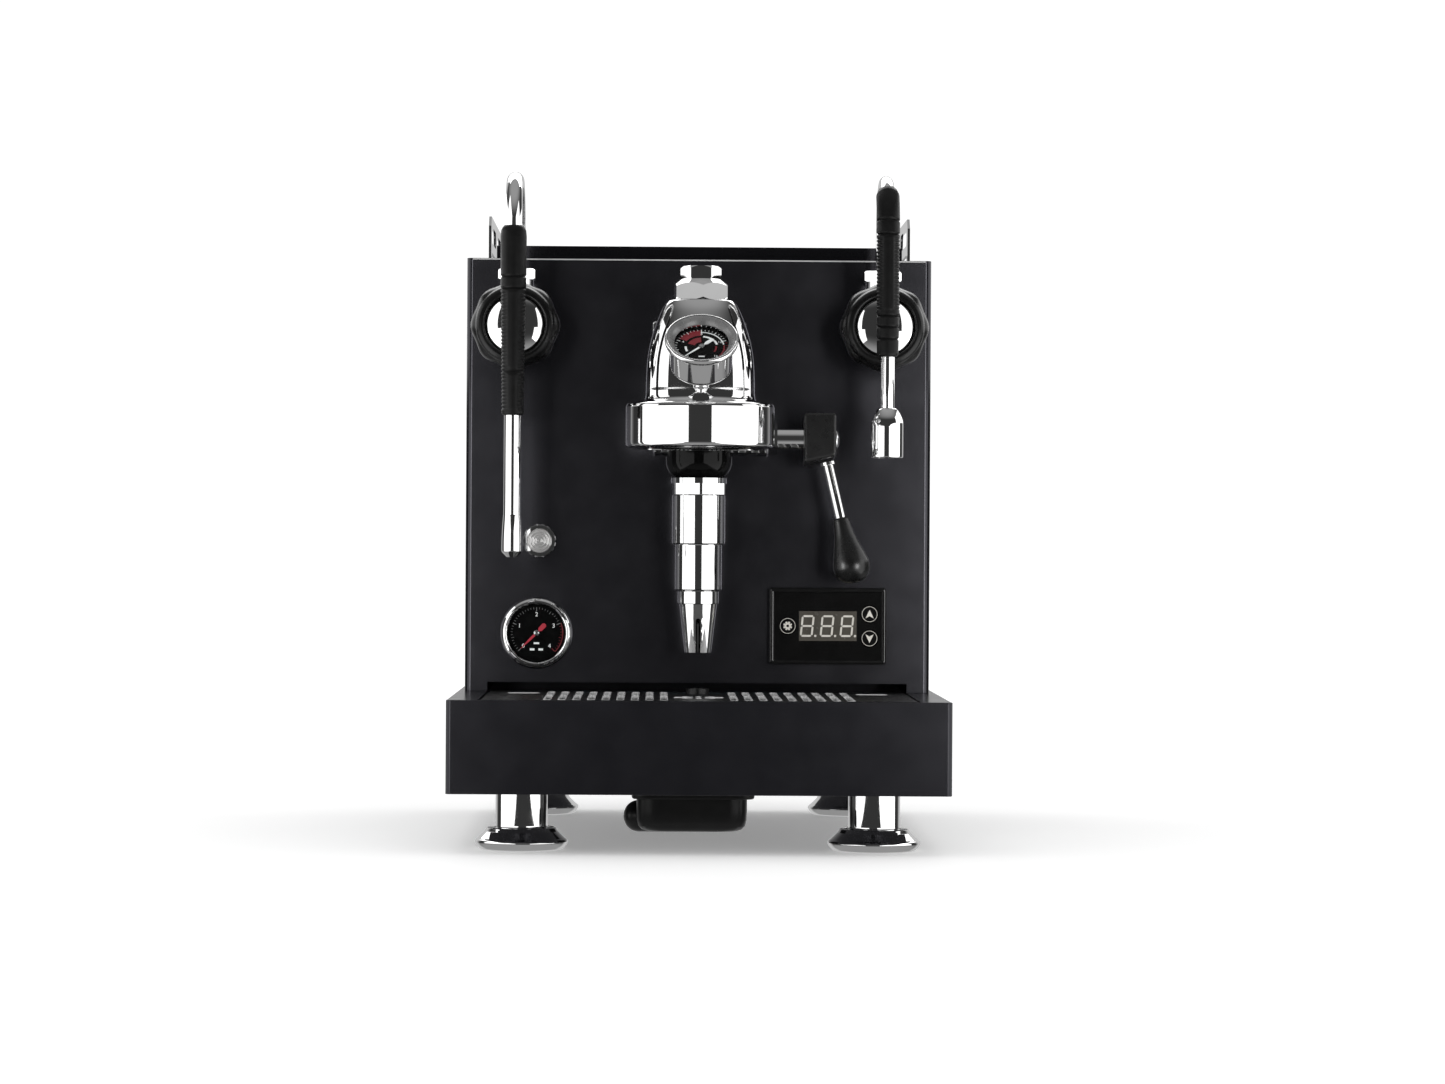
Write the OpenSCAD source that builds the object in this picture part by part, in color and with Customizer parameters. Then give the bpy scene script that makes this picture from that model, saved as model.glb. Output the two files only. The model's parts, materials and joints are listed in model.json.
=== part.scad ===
// Single-group espresso machine with a classic lever-operated group.
// Millimetres. +Z is up, the front faces -Y, +X is to the right seen from the front.
// The origin is on the floor under the middle of the machine.

/* [Housing] */
// Width of the base and of the drip tray front
base_w = 315; // [300:1:330]
// Width of the body above the base
body_w = 307; // [296:1:310]
// Height of the underside of the base above the floor
base_z = 38; // [34:1:44]
// Height of the top of the base and of the drip grate
deck_z = 96; // [92:1:100]
// Height of the top of the body
body_top_z = 382; // [380:1:386]
// Depth position of the front face of the drip tray
front_y = -216; // [-220:1:-212]
// Depth position of the front panel
panel_y = -51; // [-53:1:-49]
// Depth position of the back of the body
back_y = 230; // [226:1:234]
// Thickness of the sheet metal
sheet = 1.5; // [1.2:0.1:2]

/* [Group] */
// Distance from the front panel to the axis of the bell
bell_reach = 95; // [94:1:97]
// Distance from the front panel to the axis of the valves
valve_reach = 35; // [34:1:36]
// Outer diameter of the ring around the bell
ring_d = 95; // [92:1:97]
// Diameter of the opening that takes the portafilter
portafilter_d = 72; // [70:0.5:72]
// Upward tilt of the group gauge
gauge_tilt = 47; // [44:1:50]

/* [Lever] */
// Height of the lever spindle
lever_z = 262.7; // [262:0.1:264]
// Outward lean of the lever
lever_lean = 13; // [11:1:14]
// Forward lean of the lever at rest
lever_forward = 6; // [0:1:12]

/* [Valves and wands] */
// Distance of each knob from the middle of the machine
knob_x = 119.6; // [119:0.1:121]
// Height of the knob axis
knob_z = 335; // [333:1:337]
// Outer diameter of a knob
knob_d = 58; // [54:1:59]
// Forward reach of a wand from its riser to its front leg
wand_reach = 67; // [65:1:70]

/* [Controls] */
// Distance of the boiler gauge from the middle
boiler_gauge_x = 106.2; // [104:0.1:108]
// Height of the boiler gauge
boiler_gauge_z = 134.6; // [133:0.1:137]
// Outer diameter of the boiler gauge
boiler_gauge_d = 47.4; // [45:0.1:49]
// Distance of the display from the middle
display_x = 86; // [84:1:90]
// Height of the middle of the display
display_z = 140.3; // [138:0.1:142]
// Width of the display housing
display_w = 77; // [75:1:79]
// Height of the display housing
display_h = 50.4; // [48:0.1:52]
// Distance of the power button from the middle
power_x = 104.5; // [102:0.5:106]
// Height of the power button
power_z = 195.5; // [193:0.5:198]

/* [Hidden] */
$fn = 64;

body_back_y = back_y - 2;
bell_y = panel_y - bell_reach;
valve_y = panel_y - valve_reach;
body_x = body_w / 2;
base_x = base_w / 2;
corner_r = 4;

// Opening in the top of the base for the drip tray, and the grate in it
tray_x = 138.5;
tray_back_y = 32;
grate_x = 136;
grate_back_y = panel_y - 3;
cutout_z = 102;
pan_z = 54;
drain_y = -101;

// Studs that hold the group
stud_x = [-22, 22];
stud_z = [266, 332];

// Base feet
foot_x = 112;
foot_y = [-156, 189];
foot_column_d = 33;

// Group heights
ring_z0 = 256;
ring_z1 = 284;
seat_groove_z = [260, 266];
seat_top_z = 273.5;
gasket_d = 69.6;
bell_top_z = 349.3;
cap_nut_z1 = 362.7;
cap_plug_z1 = 371;
bowl_z0 = 237;
valve_nut_z0 = 226.3;
infusion_step_z = 193.7;
infusion_z0 = 163.7;
collar_z0 = 154.8;
drain_z0 = 123.3;

// Group gauge: case, rim and the place of the rim's middle
gauge_case_d = 39;
gauge_rim_d = 46;
gauge_case_l = 24.7;
gauge_rim_y = bell_y - 67.2;
gauge_rim_z = 322.7;
gauge_back_y = gauge_rim_y + gauge_case_l * cos(gauge_tilt);
gauge_back_z = gauge_rim_z - gauge_case_l * sin(gauge_tilt);

// Cams on the lever spindle, and the free play between a cam and its valve
cam_r = 6.6;
cam_throw = 2.2;
cam_play = 0.3;

// Wands
riser_y = panel_y - 25;
leg_y = riser_y - wand_reach;
arc_r = wand_reach / 2;
arc_z = 394.5;
wand_nut_z0 = 366;
wand_nut_z1 = 373;
steam_pipe_d = 11;
water_pipe_d = 9;
steam_grip_z = [275.4, 397];
water_grip_z0 = 314.2;
water_grip_arc = 50;
steam_tip_z = [185, 212];
water_spout_z = [249.8, 282.3];

// Knob depth positions
knob_front_y = panel_y - 65;
knob_back_y = knob_front_y + 21;
stem_d = 8;
stem_back_y = panel_y - 12;

// Water tank at the back of the body
tank_x = 98;
tank_y = [136, 218];
tank_z = [100, 374];

// Boiler, lying front to back
boiler_d = 116;
boiler_z = 248;
boiler_y = [-16, 104];

// Pressed cup tray on top of the body
cup_x = 134;
cup_y = [-46, 222];
cup_lip_z = 390.5;

// Button in the display: distance from the middle of the display, height, diameter
button_d = 11.2;
set_x = -26.5;
arrow_x = 27.5;
arrow_z = 8;

// ---- Helpers ----

// Box between two corners
module span(low, high) {
    translate(low) cube(high - low);
}

// Cylinder along Y between two depths
module rod_y(x, z, y0, y1, d, d2 = -1) {
    translate([x, y0, z]) rotate([-90, 0, 0])
        cylinder(h = y1 - y0, d1 = d, d2 = d2 < 0 ? d : d2);
}

// Cylinder along X between two positions
module rod_x(x0, x1, y, z, d) {
    translate([x0, y, z]) rotate([0, 90, 0]) cylinder(h = x1 - x0, d = d);
}

// Cylinder along Z between two heights
module rod_z(x, y, z0, z1, d, d2 = -1) {
    translate([x, y, z0]) cylinder(h = z1 - z0, d1 = d, d2 = d2 < 0 ? d : d2);
}

// Hexagonal prism along Z with a corner to the front, size across corners
module hex_z(x, y, z0, z1, d, turn = 30) {
    translate([x, y, z0]) rotate([0, 0, turn]) cylinder(h = z1 - z0, d = d, $fn = 6);
}

// Rectangle with round corners, centred
module round_rect(w, h, r) {
    union() {
        square([w - 2 * r, h], center = true);
        square([w, h - 2 * r], center = true);
        for (sx = [-1, 1], sy = [-1, 1])
            translate([sx * (w / 2 - r), sy * (h / 2 - r)]) circle(r = r);
    }
}

// Slot with round ends along Y, centred
module slot(w, length) {
    union() {
        square([w, length - w], center = true);
        for (s = [-1, 1]) translate([0, s * (length - w) / 2]) circle(d = w, $fn = 24);
    }
}

// Bar along Y with a round-cornered section, from y0 to y1
module round_bar_y(x, z, y0, y1, w, h, r) {
    translate([x, y1, z]) rotate([90, 0, 0]) linear_extrude(y1 - y0) round_rect(w, h, r);
}

// Frame of the group gauge: z along its axis, out of the dial, origin at the front rim
module at_group_gauge() {
    translate([0, gauge_rim_y, gauge_rim_z]) rotate([90 - gauge_tilt, 0, 0]) children();
}

// Frame of the lever: hangs down -Z from the hub centre, leaning out and forward
module at_lever() {
    translate([80.4, valve_y, lever_z]) rotate([-lever_forward, -lever_lean, 0]) children();
}

// ---- Housing ----

module base_frame() {
    color("#1b1b1d") union() {
        difference() {
            span([-base_x, front_y + 3.5, base_z], [base_x, back_y, base_z + 2]);
            rod_z(0, drain_y, base_z - 1, base_z + 3, 24);
            for (x = [-foot_x, foot_x], y = foot_y) rod_z(x, y, base_z - 1, base_z + 3, 8.2);
        }
        for (s = [-1, 1]) {
            span([s > 0 ? base_x - 2 : -base_x, front_y + 3.5, base_z + 2],
                 [s > 0 ? base_x : -base_x + 2, back_y, deck_z]);
            span([s > 0 ? tray_x : -base_x + 2, front_y + 3.5, deck_z - 2],
                 [s > 0 ? base_x - 2 : -tray_x, back_y - 2, deck_z]);
        }
        for (s = [-1, 1])
            span([s > 0 ? 118 : -126, front_y + 3.5, base_z + 2],
                 [s > 0 ? 126 : -118, tray_back_y, pan_z - 0.3]);
        span([-base_x + 2, back_y - 2, base_z + 2], [base_x - 2, back_y, deck_z]);
        span([-tray_x, tray_back_y + 10, deck_z - 2], [tray_x, back_y - 2, deck_z]);
        span([-base_x + 2, tray_back_y + 10, base_z + 2], [base_x - 2, tray_back_y + 12, deck_z - 2]);
        // Baffle behind the gap over the tray
        span([-tray_x, tray_back_y + 10, deck_z - 2], [tray_x, tray_back_y + 12, cutout_z + 2]);
    }
}

module front_panel() {
    color("#202022") difference() {
        translate([0, panel_y + 20, deck_z]) linear_extrude(body_top_z - deck_z)
            round_rect(body_w, 40, corner_r);
        span([-body_x + sheet, panel_y + sheet, deck_z - 1],
             [body_x - sheet, panel_y + 60, body_top_z - sheet]);
        span([-body_x - 1, panel_y + 12, deck_z - 1], [body_x + 1, panel_y + 60, body_top_z + 1]);
        span([-tray_x, panel_y - 1, deck_z - 1], [tray_x, panel_y + 14, cutout_z]);
        for (s = [-1, 1]) rod_y(s * knob_x, knob_z, panel_y - 1, panel_y + 3, 22);
        rod_y(-boiler_gauge_x, boiler_gauge_z, panel_y - 1, panel_y + 3, 42);
        rod_y(-power_x, power_z, panel_y - 1, panel_y + 3, 17);
        span([display_x - 34, panel_y - 1, display_z - 21], [display_x + 34, panel_y + 3, display_z + 21]);
        rod_y(0, 310, panel_y - 1, panel_y + 3, 14);
        rod_y(0, 288, panel_y - 1, panel_y + 3, 14);
        for (x = stud_x, z = stud_z) rod_y(x, z, panel_y - 1, panel_y + 3, 6.6);
    }
}

module body_cover() {
    color("#1b1b1d") difference() {
        union() {
            for (s = [-1, 1])
                span([s > 0 ? body_x - sheet : -body_x, panel_y + 12, deck_z],
                     [s > 0 ? body_x : -body_x + sheet, body_back_y, body_top_z]);
            span([-body_x + sheet, body_back_y - sheet, deck_z],
                 [body_x - sheet, body_back_y, body_top_z]);
        }
        for (s = [-1, 1], row = [0 : 4], col = [0 : 5])
            translate([s * body_x, 60 + col * 22, 330 - row * 10]) rotate([0, 90, 0])
                cylinder(h = 6, d = 5, center = true, $fn = 24);
        for (col = [-5 : 5])
            span([col * 16 - 4.5, body_back_y - 4, 130], [col * 16 + 4.5, body_back_y + 1, 134]);
        span([102, body_back_y - 4, 108], [130, body_back_y + 1, 129]);
    }
}

module cup_tray() {
    color("#232325") difference() {
        union() {
            span([-body_x + sheet, panel_y + 12, body_top_z - sheet],
                 [body_x - sheet, body_back_y - sheet, body_top_z]);
            span([-cup_x, cup_y[0], body_top_z], [cup_x, cup_y[0] + 1.5, cup_lip_z]);
            span([-cup_x, cup_y[1] - 1.5, body_top_z], [cup_x, cup_y[1], cup_lip_z]);
            for (s = [-1, 1])
                span([s > 0 ? cup_x - 1.5 : -cup_x, cup_y[0], body_top_z],
                     [s > 0 ? cup_x : -cup_x + 1.5, cup_y[1], cup_lip_z]);
            span([-cup_x + 1, cup_y[0] + 1, body_top_z], [cup_x - 1, cup_y[0] + 14, body_top_z + 1]);
        }
        for (row = [0 : 4], col = [-5 : 5])
            translate([col * 20, -14 + row * 26, body_top_z - 4])
                linear_extrude(6) slot(4, 18);
        span([-tank_x - 4, tank_y[0] - 4, body_top_z - 5], [tank_x + 4, tank_y[1] + 2, body_top_z + 3]);
    }
}

module cup_rails() {
    color("silver") for (s = [-1, 1]) {
        x0 = s > 0 ? cup_x + 3.9 : -cup_x - 5.6;
        difference() {
            translate([x0, 0, 0]) rotate([90, 0, 90]) linear_extrude(1.7)
                polygon([[cup_y[0] + 4, body_top_z], [cup_y[0] + 12, body_top_z],
                    [cup_y[0] + 18, body_top_z + 5], [cup_y[1] - 18, body_top_z + 5],
                    [cup_y[1] - 12, body_top_z], [cup_y[1] - 4, body_top_z],
                    [cup_y[1] - 4, body_top_z + 22], [cup_y[1] - 10, body_top_z + 28.5],
                    [cup_y[0] + 10, body_top_z + 28.5], [cup_y[0] + 4, body_top_z + 22]]);
            for (k = [0 : 2])
                translate([x0 - 1, cup_y[0] + 50 + k * 84, body_top_z + 17])
                    rotate([90, 0, 90]) linear_extrude(4) round_rect(66, 11, 5.4);
        }
    }
}

module foot(x, y) {
    translate([x, y, 0]) {
        rotate_extrude() polygon([[0, 0], [26, 0], [28.6, 3.4], [29.5, 5], [28.6, 6.2],
            [22.6, 12], [22.2, 13.6], [17.6, 14.2], [foot_column_d / 2, 15.4],
            [foot_column_d / 2, base_z], [0, base_z]]);
        cylinder(h = base_z + 8, d = 8);
    }
}

module feet() {
    color("silver") for (x = [-foot_x, foot_x], y = foot_y) foot(x, y);
}

module cover_screws() {
    color("#555558") for (s = [-1, 1], z = [112, 240, 368])
        translate([s * (body_x - 12), body_back_y, z]) rotate([-90, 0, 0]) {
            difference() {
                cylinder(h = 1.9, d = 7);
                translate([0, 0, 1]) cylinder(h = 2, d = 3, $fn = 6);
            }
        }
}

module drip_tray_front() {
    color("#1b1b1d") translate([0, 0, base_z]) linear_extrude(deck_z + 0.5 - base_z) difference() {
        translate([0, front_y + 10]) round_rect(base_w, 20, 3);
        translate([-base_x - 1, front_y + 3]) square([base_w + 2, 40]);
    }
}

module drip_tray_pan() {
    pan_x = 132;
    pan_y0 = front_y + 3;
    color("#c8c8ca") difference() {
        union() {
            span([-pan_x, pan_y0, pan_z], [pan_x, tray_back_y, deck_z - 4]);
            span([-tray_x + 1.5, pan_y0, deck_z - 5.5], [tray_x - 1.5, tray_back_y, deck_z - 4]);
        }
        span([-pan_x + 2, pan_y0 + 2, pan_z + 2], [pan_x - 2, tray_back_y - 2, deck_z]);
        rod_z(0, drain_y, pan_z - 1, pan_z + 3, 12);
    }
}

module grate_slots() {
    rows = [[front_y + 48, 72], [front_y + 119, 52]];
    for (s = [-1, 1], row = rows, col = [0 : 8])
        translate([s * (22 + col * 9.15), row[0]]) slot(5, row[1]);
    for (s = [-1, 1]) translate([s * 113, front_y + 122]) rotate(90) slot(11, 21);
    for (turn = [0 : 9]) translate([0, front_y + 58]) rotate(turn * 36) translate([0, 12]) slot(3.6, 9);
    translate([0, front_y + 58]) circle(d = 7);
}

module drip_grate() {
    ring_top_z = deck_z + 3.7;
    color("#161617") union() {
        difference() {
            union() {
                span([-grate_x, front_y + 5, deck_z - 1.5], [grate_x, grate_back_y, deck_z + 0.5]);
                rod_z(0, valve_y, deck_z, ring_top_z, 15);
            }
            translate([0, 0, deck_z - 5]) linear_extrude(10) grate_slots();
            rod_z(0, valve_y, deck_z - 4, ring_top_z + 1, 11);
        }
        for (s = [-1, 1], y = [front_y + 30, grate_back_y - 30])
            span([s > 0 ? 131 : -135.5, y, deck_z - 4], [s > 0 ? 135.5 : -131, y + 8, deck_z - 1.4]);
    }
}

module drain_bowl() {
    spigot_z = 17.6;
    color("#141415") difference() {
        union() {
            translate([-2.8, drain_y, base_z - 8]) linear_extrude(8) round_rect(79, 60, 8);
            translate([-3.6, drain_y, 8.5]) linear_extrude(base_z - 10.5) round_rect(71.4, 52, 12);
            rod_x(-37.3, -2, drain_y, spigot_z, 20.6);
            translate([-37.3, drain_y, spigot_z]) sphere(d = 20.6);
        }
        translate([-3.6, drain_y, 11.5]) linear_extrude(40) round_rect(65.4, 46, 9);
        rod_x(-40, -20, drain_y, spigot_z, 12);
    }
}

// ---- Group ----

module group_body() {
    color("silver") difference() {
        union() {
            translate([0, bell_y, 0]) rotate_extrude() polygon([
                [0, ring_z0 - 1.6], [ring_d / 2 - 6, ring_z0 - 1.6],
                [ring_d / 2 - 1.5, ring_z0], [ring_d / 2, ring_z0 + 1.5], [ring_d / 2, ring_z1 - 3],
                [ring_d / 2 - 3, ring_z1], [36, ring_z1], [34.4, ring_z1 + 2], [34.4, 304],
                [33.8, 313], [32.5, 320.7], [30.4, 329], [27.7, 336.6], [24.6, 344], [21.6, bell_top_z],
                [0, bell_top_z]]);
            // Casting between the bell and the panel
            span([-26, bell_y, 262], [26, valve_y + 2, 322]);
            rod_z(0, valve_y, ring_z0 + 1, 326, 53);
            translate([0, valve_y, 0]) rotate_extrude() polygon([[0, bowl_z0], [15, bowl_z0],
                [18.4, bowl_z0 + 2.4], [20.6, bowl_z0 + 5.6], [21.5, bowl_z0 + 9], [21.5, 262], [0, 262]]);
            rod_z(0, valve_y, 326, 333, 34);
            rod_y(0, 299, valve_y, panel_y - 8, 46);
            round_bar_y(0, 299, panel_y - 9, panel_y, 62, 84, 14);
            rod_x(-30, 45, valve_y, lever_z, 24);
        }
        // Portafilter seat with two entry notches for its ears, the gasket's recess above it,
        // and room for the portafilter under the casting
        rod_z(0, bell_y, ring_z0 - 2, seat_groove_z[1] - 1, portafilter_d);
        rod_z(0, bell_y, seat_groove_z[0], seat_groove_z[1], 80);
        for (s = [0, 180]) translate([0, bell_y, 0]) rotate([0, 0, s])
            span([30, -11, ring_z0 - 2], [40, 11, seat_groove_z[1]]);
        rod_z(0, bell_y, seat_groove_z[1] - 1, seat_top_z, gasket_d + 0.2);
        rod_z(0, bell_y, bowl_z0, ring_z0 - 1.6, portafilter_d + 4);
        // Water way down to the shower screen, valve bores and spindle bore
        rod_z(0, bell_y, 270, 290, 12);
        rod_z(0, valve_y, 200, 320, 18);
        rod_x(-10, 10, valve_y, lever_z, 18.4);
        rod_x(-20, 50, valve_y, lever_z, 12.1);
        rod_z(0, bell_y, 330, bell_top_z + 1, 20.4);
        rod_y(0, 310, valve_y, panel_y + 1, 8);
        rod_y(0, 288, valve_y, panel_y + 1, 8);
        for (x = stud_x, z = stud_z) rod_y(x, z, panel_y - 12, panel_y + 2, 6.6);
    }
}

module group_cap_nut() {
    color("silver") union() {
        translate([0, bell_y, 0]) {
            intersection() {
                hex_z(0, 0, bell_top_z, cap_nut_z1, 37.6, 34);
                rotate_extrude() polygon([[0, bell_top_z], [16.6, bell_top_z], [18.9, bell_top_z + 1.6],
                    [18.9, cap_nut_z1 - 4.6], [12.8, cap_nut_z1], [0, cap_nut_z1]]);
            }
            intersection() {
                hex_z(0, 0, cap_nut_z1 - 0.2, cap_plug_z1, 26, 0);
                rotate_extrude() polygon([[0, cap_nut_z1 - 1], [12, cap_nut_z1 - 1], [13.2, cap_nut_z1 + 1],
                    [13.2, cap_plug_z1 - 1.6], [11.4, cap_plug_z1], [0, cap_plug_z1]]);
            }
        }
        rod_z(0, bell_y, 334, bell_top_z + 1, 20);
    }
}

module flange_nuts() {
    color("silver") for (x = stud_x, z = stud_z) {
        translate([x, panel_y - 9, z]) rotate([90, 0, 0]) cylinder(h = 5, d = 11, $fn = 6);
        rod_y(x, z, panel_y - 14.5, panel_y + 10, 6);
    }
}

module lower_valve_nut() {
    color("silver") difference() {
        union() {
            rod_z(0, valve_y, bowl_z0 - 3.6, bowl_z0, 36.4);
            intersection() {
                hex_z(0, valve_y, valve_nut_z0, bowl_z0 - 3.5, 38.4, 34);
                rod_z(0, valve_y, valve_nut_z0, bowl_z0 - 3.5, 37.4);
            }
        }
        rod_z(0, valve_y, valve_nut_z0 - 1, bowl_z0 + 1, 15);
    }
}

module infusion_chamber() {
    color("silver") difference() {
        translate([0, valve_y, 0]) rotate_extrude() polygon([[0, infusion_z0], [14.6, infusion_z0],
            [15.3, infusion_z0 + 0.8], [15.3, infusion_step_z - 0.4], [16.8, infusion_step_z],
            [17.4, infusion_step_z + 0.8], [17.4, valve_nut_z0 - 0.8], [16.8, valve_nut_z0],
            [0, valve_nut_z0]]);
        rod_z(0, valve_y, infusion_z0 + 3, valve_nut_z0 + 1, 26);
        rod_z(0, valve_y, infusion_z0 - 1, infusion_z0 + 4, 8);
    }
}

module drain_tube() {
    color("silver") difference() {
        translate([0, valve_y, 0]) rotate_extrude() polygon([[0, drain_z0], [8.7, drain_z0],
            [12.3, collar_z0], [13.4, collar_z0 + 0.5], [13.4, infusion_z0 - 0.7], [12.8, infusion_z0],
            [0, infusion_z0]]);
        translate([0, valve_y, 0]) rotate_extrude() polygon([[0, drain_z0 - 1], [7.3, drain_z0 - 1],
            [10.6, collar_z0 - 2], [4, collar_z0 + 2], [4, infusion_z0 + 1], [0, infusion_z0 + 1]]);
        span([-1.6, valve_y - 20, drain_z0 - 1], [1.6, valve_y, 144]);
        rod_y(0, 144, valve_y - 20, valve_y, 3.2);
    }
}

module shower_screen() {
    color("silver") difference() {
        union() {
            rod_z(0, bell_y, 263.5, 265, 57);
            difference() {
                rod_z(0, bell_y, 265, 273, 57);
                rod_z(0, bell_y, 264, 274, 54);
            }
        }
        for (ring = [1 : 3], turn = [0 : 6 * ring - 1])
            translate([0, bell_y, 260]) rotate([0, 0, turn * 60 / ring])
                translate([ring * 7.5, 0, 0]) cylinder(h = 8, d = 2, $fn = 13);
    }
}

module group_gasket() {
    color("#222222") difference() {
        rod_z(0, bell_y, 265.5, seat_top_z, gasket_d);
        rod_z(0, bell_y, 265, seat_top_z + 1, 58);
    }
}

module lever_shaft() {
    color("silver") union() {
        rod_x(-18, 52, valve_y, lever_z, 12);
        // Cams: the first lifts the brew valve, the second holds the discharge valve down
        rod_x(-6, 0, valve_y - cam_throw, lever_z, 2 * cam_r);
        rod_x(0, 6, valve_y, lever_z - cam_throw, 2 * cam_r);
        translate([45.4, valve_y, lever_z]) rotate([0, 90, 0]) cylinder(h = 5.5, d = 20.6, $fn = 6);
        rod_x(50.8, 71.6, valve_y, lever_z, 14.2);
    }
}

module lever_hub() {
    hub_x = [-12.2, 8.7];
    color("#1d1d1f") difference() {
        union() {
            translate([80.4, valve_y, lever_z]) rotate([-lever_forward, 0, 0]) {
                intersection() {
                    span([hub_x[0], -13, -17], [hub_x[1], 13, 16]);
                    rotate([0, 90, 0]) cylinder(h = 60, r = 20, center = true);
                    rotate([0, -lever_lean, 0]) translate([-30, -30, -15.6]) cube([60, 60, 40]);
                }
            }
            rod_x(89, 91.6, valve_y, lever_z, 10.6);
        }
        rod_x(66, 73, valve_y, lever_z, 14.6);
    }
}

module lever_rod() {
    color("silver") at_lever() union() {
        translate([0, 0, -53]) cylinder(h = 37.3, d = 6.6);
        translate([0, 0, -17.6]) cylinder(h = 2, d = 9.4);
    }
}

module lever_knob() {
    color("#151516") at_lever() rotate_extrude() polygon([[0, -96.4], [3.6, -96], [7.4, -94.3],
        [10.4, -91.3], [11.9, -87.3], [11.8, -83.2], [10.6, -78.1], [8.8, -72.2], [7, -65.8],
        [5.8, -59.5], [5.2, -53.9], [4.6, -53.1], [0, -53.1]]);
}

module brew_valve() {
    color("goldenrod") union() {
        rod_z(0, valve_y, lever_z + cam_r + cam_play, 292, 5);
        rod_z(0, valve_y, 286, 296, 13);
    }
}

module discharge_valve() {
    color("goldenrod") union() {
        rod_z(0, valve_y, 233, lever_z - cam_r - cam_throw - cam_play, 5);
        rod_z(0, valve_y, 228, 236, 13);
    }
}

module group_gauge_case() {
    color("silver") union() {
        at_group_gauge() rotate_extrude() polygon([[0, -gauge_case_l],
            [gauge_case_d / 2 - 3, -gauge_case_l], [gauge_case_d / 2 - 0.8, -gauge_case_l + 1.2],
            [gauge_case_d / 2, -gauge_case_l + 3.6], [gauge_case_d / 2, -4.6],
            [gauge_rim_d / 2 - 0.6, -4.4], [gauge_rim_d / 2, -3.6], [gauge_rim_d / 2, -1],
            [gauge_rim_d / 2 - 0.5, -0.2], [gauge_rim_d / 2 - 1.2, 0], [gauge_rim_d / 2 - 1.8, -0.4],
            [17.2, -4.3], [17, -4.6], [18.5, -4.7], [18.1, -9], [0, -9]]);
        at_group_gauge() translate([0, 0, -gauge_case_l - 7]) cylinder(h = 7.4, d = 8);
        translate([0, gauge_back_y + 8 * cos(gauge_tilt), gauge_back_z - 8 * sin(gauge_tilt)])
            sphere(d = 11.6);
        stem_z = gauge_back_z - 8 * sin(gauge_tilt);
        stem_y = gauge_back_y + 8 * cos(gauge_tilt);
        rod_z(0, stem_y, ring_z1 + 0.4, stem_z, 7);
        rod_y(0, 286, stem_y, bell_y - 34, 5.6);
        translate([0, bell_y - 33.8, 286]) rotate([90, 0, 0]) cylinder(h = 4, d = 11, $fn = 6);
    }
}

module group_gauge_dial() {
    color("#101010") at_group_gauge() difference() {
        translate([0, 0, -9]) cylinder(h = 1, d = 35.8);
        translate([0, 0, -10]) cylinder(h = 3, d = 2.1);
    }
}

// Pointer in its own plane: long tip along +Y, short tail behind
module pointer(tip, tail, w) {
    linear_extrude(0.5) polygon([[-w / 2, 0], [-0.3, tip], [0.3, tip], [w / 2, 0], [w * 0.9, -tail],
        [-w * 0.9, -tail]]);
}

module group_gauge_needle() {
    color("white") at_group_gauge() union() {
        translate([0, 0, -7.5]) rotate([0, 0, 133]) pointer(13, 9, 1.3);
        translate([0, 0, -7.6]) cylinder(h = 1, d = 3.6);
        translate([0, 0, -8.8]) cylinder(h = 1.5, d = 2);
    }
}

module group_gauge_glass() {
    color("#dfe8ee40") at_group_gauge() translate([0, 0, -5.8]) cylinder(h = 1, d = 36.6);
}

// ---- Valves and wands ----

module valve_bodies() {
    color("silver") for (s = [-1, 1]) difference() {
        union() {
            rod_y(s * knob_x, knob_z, stem_back_y - 26, panel_y, 26);
            rod_y(s * knob_x, knob_z, panel_y - 3, panel_y, 36);
            rod_y(s * knob_x, knob_z, panel_y, panel_y + 16, 20);
            rod_z(s * knob_x, riser_y, knob_z, wand_nut_z0, 22);
        }
        rod_y(s * knob_x, knob_z, stem_back_y - 28, stem_back_y + 2, stem_d + 0.1);
        rod_z(s * knob_x, riser_y, knob_z + 6, wand_nut_z0 + 1,
              s < 0 ? steam_pipe_d + 0.1 : water_pipe_d + 0.1);
    }
}

module wand_nuts() {
    color("silver") for (s = [-1, 1]) difference() {
        intersection() {
            hex_z(s * knob_x, riser_y, wand_nut_z0, wand_nut_z1, 27.6);
            translate([s * knob_x, riser_y, 0]) rotate_extrude() polygon([[0, wand_nut_z0],
                [13, wand_nut_z0], [13.8, wand_nut_z0 + 0.8], [13.8, wand_nut_z1 - 1.4],
                [12, wand_nut_z1], [0, wand_nut_z1]]);
        }
        rod_z(s * knob_x, riser_y, wand_nut_z0 - 1, wand_nut_z1 + 1,
              s < 0 ? steam_pipe_d + 0.1 : water_pipe_d + 0.1);
    }
}

// Outline of a knob: a disc with eight shallow lobes
module knob_outline(inset) {
    lobes = 8;
    lobe_r = 16;
    union() {
        circle(r = knob_d / 2 - 1.2 - inset);
        for (k = [0 : lobes - 1]) rotate((k + 0.5) * 360 / lobes)
            translate([knob_d / 2 - lobe_r, 0]) circle(r = lobe_r - inset);
    }
}

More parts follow.
